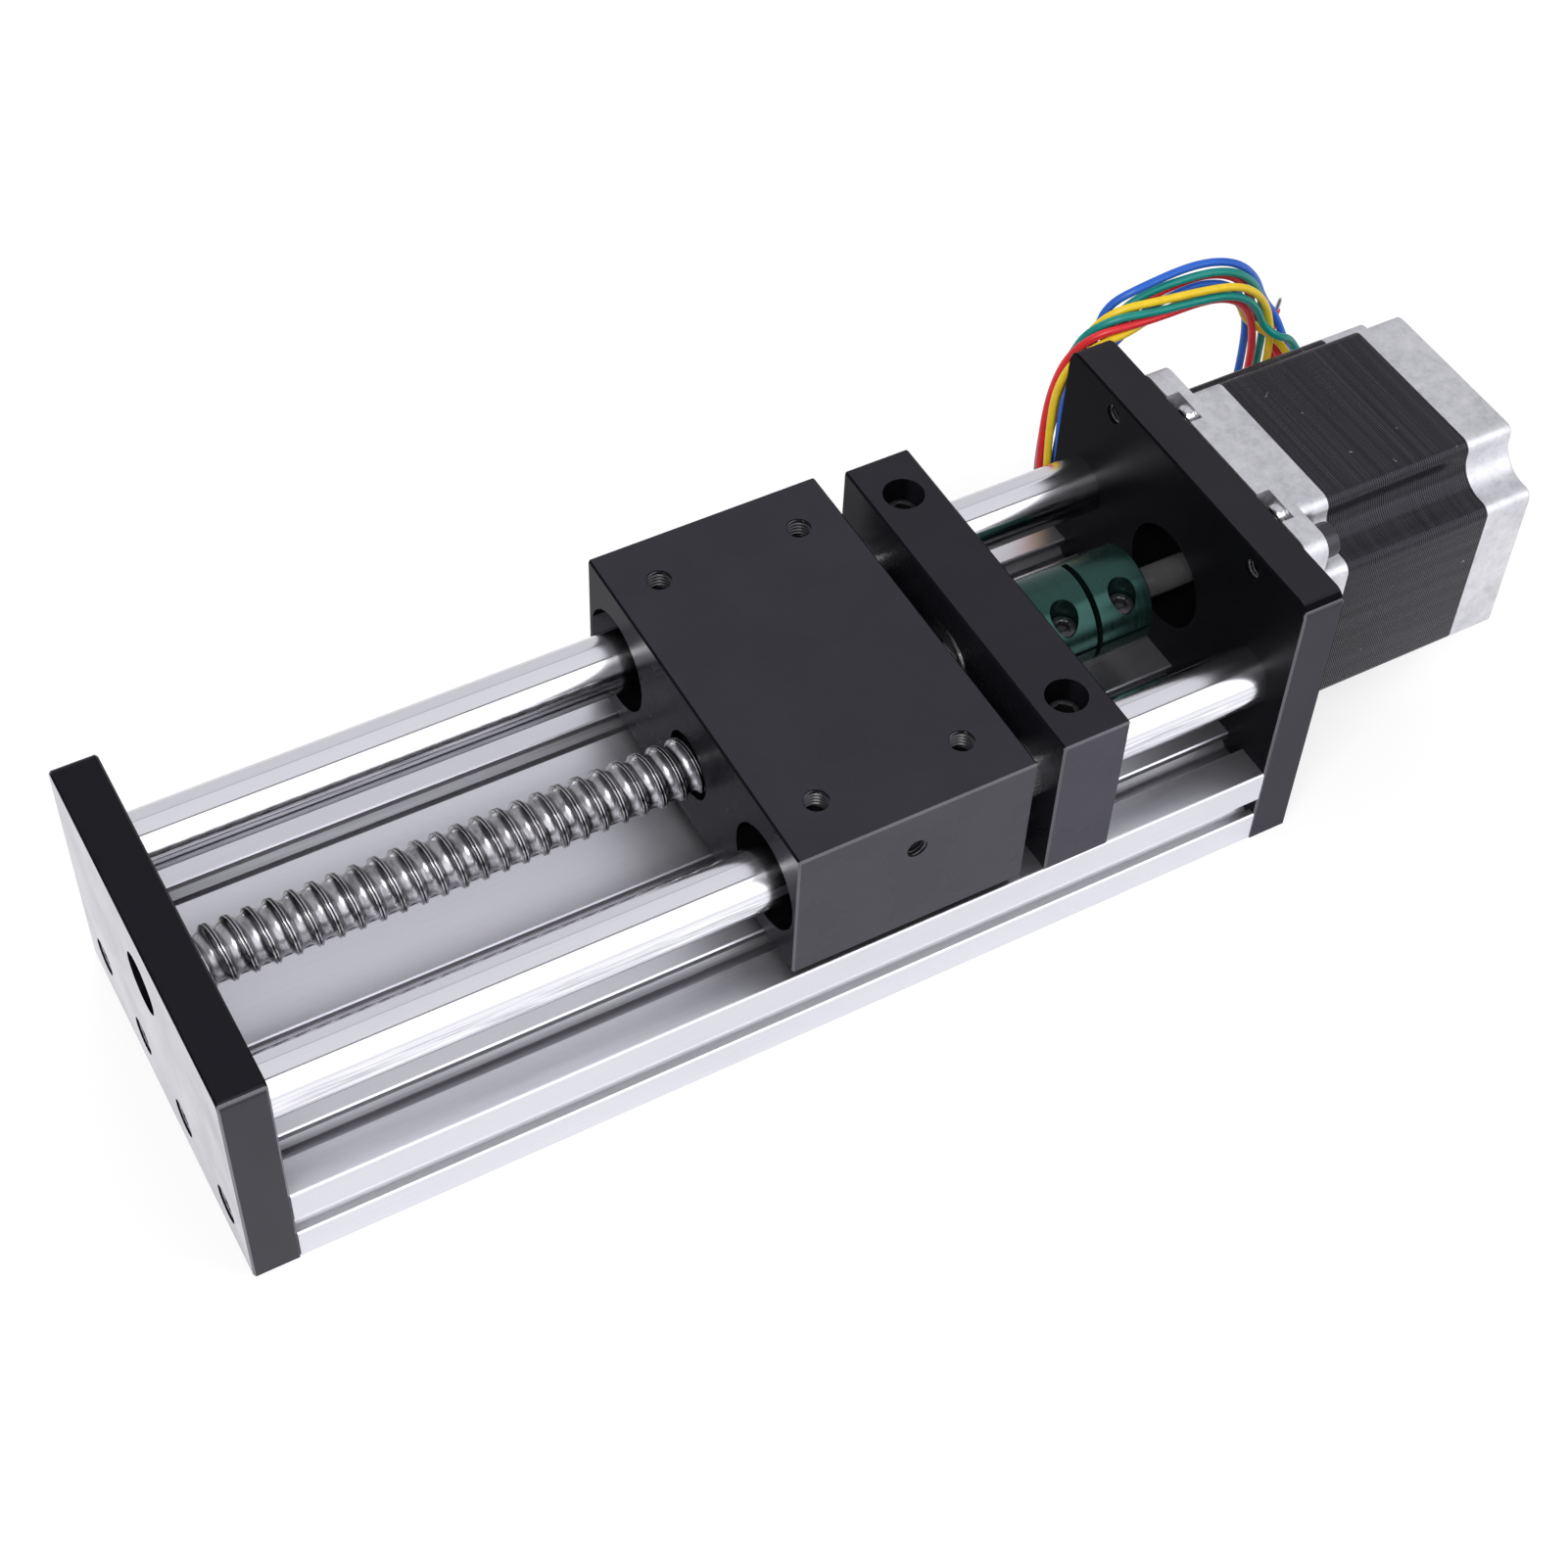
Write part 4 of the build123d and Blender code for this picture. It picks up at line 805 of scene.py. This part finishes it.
def outlet_ring(y, radius):
    """Rounded oblong around the lead outlet."""
    ring = []
    for k in range(48):
        angle = math.tau * k / 48
        shift = math.copysign(OUTLET_HALF, math.sin(angle)) if abs(math.sin(angle)) > 1e-6 else 0.0
        ring.append((OUTLET_X + radius * math.cos(angle), y, AXIS_Z + shift + radius * math.sin(angle)))
    return ring


OUTLET_PROFILE = [(26.6, 2.98), (28.2, 2.98), (28.25, 2.98), (28.5, 2.86), (28.8, 2.96), (29.2, 2.96),
                  (29.4, 2.84), (29.7, 2.84), (30.0, 2.7), (OUTLET_Y, 2.4), (OUTLET_Y, 0.35)]
bm = bmesh.new()
loops = skin(bm, [outlet_ring(y, radius) for y, radius in OUTLET_PROFILE])
bm.faces.new(loops[0])
bm.faces.new(loops[-1])
piece_from("lead_outlet_rubber", bm, "frame", "seal_rubber", RUBBER, "lead_grommet")

# ---------------------------------------------------------------- motor leads
LEAD_D = 1.7
OUTLET_PITCH = 2.1
OUTLET_ROW = ("red", "blue", "yellow", "teal")
LOOP_AT = Vector((101.5, 43.9, 36.0))
LOOP_HALF = (25.2, 30.4)
LOOP_POWER = 2.8
LOOP_STEPS = 24
LOOP_START, LOOP_TURNS = 24, 686
LOOP_FAN, LOOP_DEPTH = 2.72, 2.88
LEAD_PHASE = {"blue": -15, "teal": -105, "yellow": -195, "red": 75}
BLUE_HELD_AT, BLUE_SPREAD = 42, 0.72
LEAD_APPROACH = {
    "red": ((133.0, 39.6, 36.6), (132.6, 43.6, 39.4), (130.9, 47.2, 44.0), (127.2, 47.6, 48.0)),
    "blue": ((133.4, 39.4, 38.6), (133.4, 42.6, 42.2), (132.0, 46.2, 48.0)),
    "yellow": ((132.4, 39.2, 41.0), (130.9, 41.6, 44.2), (127.4, 43.7, 47.4)),
    "teal": ((132.6, 38.9, 44.6), (130.4, 39.0, 47.8), (126.8, 38.3, 49.9)),
}
RED_FREE_END = ((132.2, 44.0, 33.0), (134.0, 46.4, 38.5), (132.4, 47.3, 43.6), (132.9, 47.0, 48.4))
TINNED_TIP = [(-0.5, 0), (-0.5, 0.5), (1.2, 0.52), (2.6, 0.46), (3.0, 0.30), (3.1, 0)]


def loop_point(turn):
    """The loop's middle line: a rounded oblong in the XZ plane."""
    c, s = math.cos(turn), math.sin(turn)
    x = LOOP_HALF[0] * math.copysign(abs(c) ** (2 / LOOP_POWER), c)
    z = LOOP_HALF[1] * math.copysign(abs(s) ** (2 / LOOP_POWER), s)
    return Vector((x, 0, z))


def eased(t):
    """Smooth step from 0 to 1."""
    t = max(0.0, min(1.0, t))
    return t * t * (3 - 2 * t)


def twist(degrees):
    """How far the bundle has wound round itself, in degrees."""
    whole, part = divmod(degrees, 360)
    wound = 200 * eased((part - 80) / 74) - 45 * eased((part - 150) / 40) - 20 * eased((part - 190) / 110)
    return 135 * whole + wound


def strand_point(name, degrees):
    """One lead's place in the loop; the blue one starts outside the others and on their far side."""
    turn = math.radians(degrees)
    ahead = (loop_point(turn + 0.001) - loop_point(turn - 0.001)).normalized()
    outward = Vector((ahead.z, 0, -ahead.x))
    angle = LEAD_PHASE[name] + twist(degrees)
    spread = 1.0
    if name == "blue" and degrees < 150:
        angle += (BLUE_HELD_AT - angle) * (1 - eased((degrees - 84) / 18))
        spread += BLUE_SPREAD * (1 - eased((degrees - 104) / 36))
    radial = LOOP_FAN * spread * math.cos(math.radians(angle))
    depth = LOOP_DEPTH * spread * math.sin(math.radians(angle))
    return LOOP_AT + loop_point(turn) + outward * radial + Vector((0, depth, 0))


def lead_points(name):
    """Control points of one lead: straight out of the outlet, into the loop, round it, and its free end."""
    height = AXIS_Z + (OUTLET_ROW.index(name) - 1.5) * OUTLET_PITCH
    points = [Vector((OUTLET_X, OUTLET_Y, height)), Vector((OUTLET_X, 33.4, height)),
              Vector((133.3, 36.5, height + 0.1))]
    points += [Vector(place) for place in LEAD_APPROACH[name]]
    count = round(LOOP_TURNS * LOOP_STEPS / 360)
    points += [strand_point(name, LOOP_START + LOOP_TURNS * k / count) for k in range(count + 1)]
    if name == "red":
        points += [Vector(place) for place in RED_FREE_END]
    return points


for lead_name in OUTLET_ROW:
    curve = bpy.data.curves.new("wire_" + lead_name, "CURVE")
    curve.dimensions = "3D"
    spline = curve.splines.new("NURBS")
    route = lead_points(lead_name)
    spline.points.add(len(route) - 1)
    for point, place in zip(spline.points, route):
        point.co = (*(place * MM), 1.0)
    spline.order_u = 3
    spline.use_endpoint_u = True
    spline.resolution_u = 6
    curve.bevel_depth = LEAD_D * MM / 2
    curve.bevel_resolution = 4
    curve.use_fill_caps = True
    wire = bpy.data.objects.new("wire_" + lead_name, curve)
    bpy.context.scene.collection.objects.link(wire)
    curve.materials.append(insulation("insulation_" + lead_name, LEAD_COLOURS[lead_name]))
    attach(wire, "frame")
    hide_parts("lead_" + lead_name, "lead_coil")
    bm = bmesh.new()
    turned(bm, route[-1], route[-1] - route[-2], TINNED_TIP, 16)
    strands = piece_from("tinned_end_" + lead_name, bm, "frame", "lead_" + lead_name, TINNED)

# ---------------------------------------------------------------- floor
COOL = (0.95, 0.945, 1.0)
WHITE = (1, 1, 1, 1)
NEAR_GLOW = 0.70

g = Graph("studio_floor")
rays = g.add("LightPath").outputs
seen = g.math("MAXIMUM", rays["Is Camera Ray"], rays["Is Glossy Ray"])
seen = g.math("MAXIMUM", seen, rays["Is Transmission Ray"])
position = g.add("NewGeometry").outputs["Position"]
along = g.add("SeparateXYZ", {0: position}).outputs
# Seen in reflections, the floor glows unevenly, as painted light for what the parts reflect: dimmer on the
# far side of the object and brighter past the end plate.
behind = g.scaled(along["Y"], from_min=0.045, from_max=0.16, to_min=NEAR_GLOW, to_max=0.36)
outside = g.scaled(along["X"], from_min=(X_END - 0.5) * MM, from_max=(X_END + 1.0) * MM,
                   to_min=0.62, to_max=0.0)
away = g.add("VectorMath", {0: position}, operation="LENGTH").outputs["Value"]
away = g.scaled(away, from_min=0.40, from_max=1.20, to_min=NEAR_GLOW, to_max=0.92)
glow = g.add("Emission", {
    "Strength": g.mean(rays["Is Camera Ray"], g.math("ADD", behind, outside), away),
    "Color": g.blend(rays["Is Camera Ray"], (*COOL, 1), WHITE),
}).outputs[0]
shaded = g.add("BsdfDiffuse", {"Color": (0.34, 0.34, 0.34, 1)}).outputs[0]
plain = g.add("BsdfDiffuse", {"Color": (0.80, 0.80, 0.80, 1)}).outputs[0]
lit = g.add("AddShader", {0: shaded, 1: glow}).outputs[0]

FLOOR_REACH = 6.0
floor_mesh = bpy.data.meshes.new("studio_floor")
corners = [(x * FLOOR_REACH, y * FLOOR_REACH, 0) for x, y in ((-1, -1), (1, -1), (1, 1), (-1, 1))]
floor_mesh.from_pydata(corners, [], [(0, 1, 2, 3)])
floor_mesh.materials.append(g.surface(g.add("MixShader", {0: seen, 1: plain, 2: lit}).outputs[0]))
floor = bpy.data.objects.new("studio_floor", floor_mesh)
floor.location.z = -0.2 * MM
bpy.context.scene.collection.objects.link(floor)

# ---------------------------------------------------------------- world
# Level of the studio by its angle about X, in degrees from straight up, and by its part along X.
STUDIO = ((-180, 1.0), (-86, 1.0), (-78, 1.9), (-24, 1.9), (-20.0, 0.08), (-17.5, 0.08), (-16.0, 0.82),
          (38.5, 0.80), (39.3, 0.40), (40.7, 0.40), (41.5, 0.70), (180, 0.70))
ENDS = ((-1.0, 0.12), (-0.66, 0.16), (-0.48, 1.0), (0.78, 1.0), (0.90, 0.20), (1.0, 0.14))
AMBIENT = 0.45

world = bpy.data.worlds.new("studio")
bpy.context.scene.world = world
g = Graph("studio", world)
rays = g.add("LightPath").outputs
way = g.add("SeparateXYZ", {0: g.add("TexCoord").outputs["Generated"]}).outputs
tilt = g.scaled(g.math("ARCTAN2", way["Y"], way["Z"]), from_min=-math.pi, from_max=math.pi)
room = g.ramp(tilt, [((angle + 180) / 360, tuple(level * c for c in COOL)) for angle, level in STUDIO])
ends = g.ramp(g.scaled(way["X"], from_min=-1.0), [((part + 1) / 2, level) for part, level in ENDS])
shown = g.blend(rays["Is Camera Ray"], g.blend(1.0, room, ends, "MULTIPLY"), WHITE)
direct = g.math("MAXIMUM", rays["Is Camera Ray"], rays["Is Glossy Ray"])
ambient = g.add("Background", {"Color": WHITE, "Strength": AMBIENT}).outputs[0]
backdrop = g.add("Background", {"Color": shown, "Strength": 1.0}).outputs[0]
g.surface(g.add("MixShader", {0: direct, 1: ambient, 2: backdrop}).outputs[0])


# ---------------------------------------------------------------- lamps
def softbox(name, at, size, power):
    """Square lamp turned towards the object."""
    light = bpy.data.lights.new(name, "AREA")
    light.shape = "RECTANGLE"
    light.size, light.size_y = size
    light.energy = power
    lamp = bpy.data.objects.new(name, light)
    lamp.location = at
    lamp.rotation_euler = (Vector((0, 0, 0.03)) - Vector(at)).to_track_quat("-Z", "Y").to_euler()
    bpy.context.scene.collection.objects.link(lamp)
    return lamp


softbox("key_light", (-0.5, -0.5, 0.9), (0.5, 0.5), 7.0)
for lamp in (softbox("fill_light", (0.7, -0.6, 0.6), (0.5, 0.5), 3.0),
             softbox("back_light", (0.1, 0.9, 0.7), (0.8, 0.4), 4.0)):
    lamp.visible_glossy = False
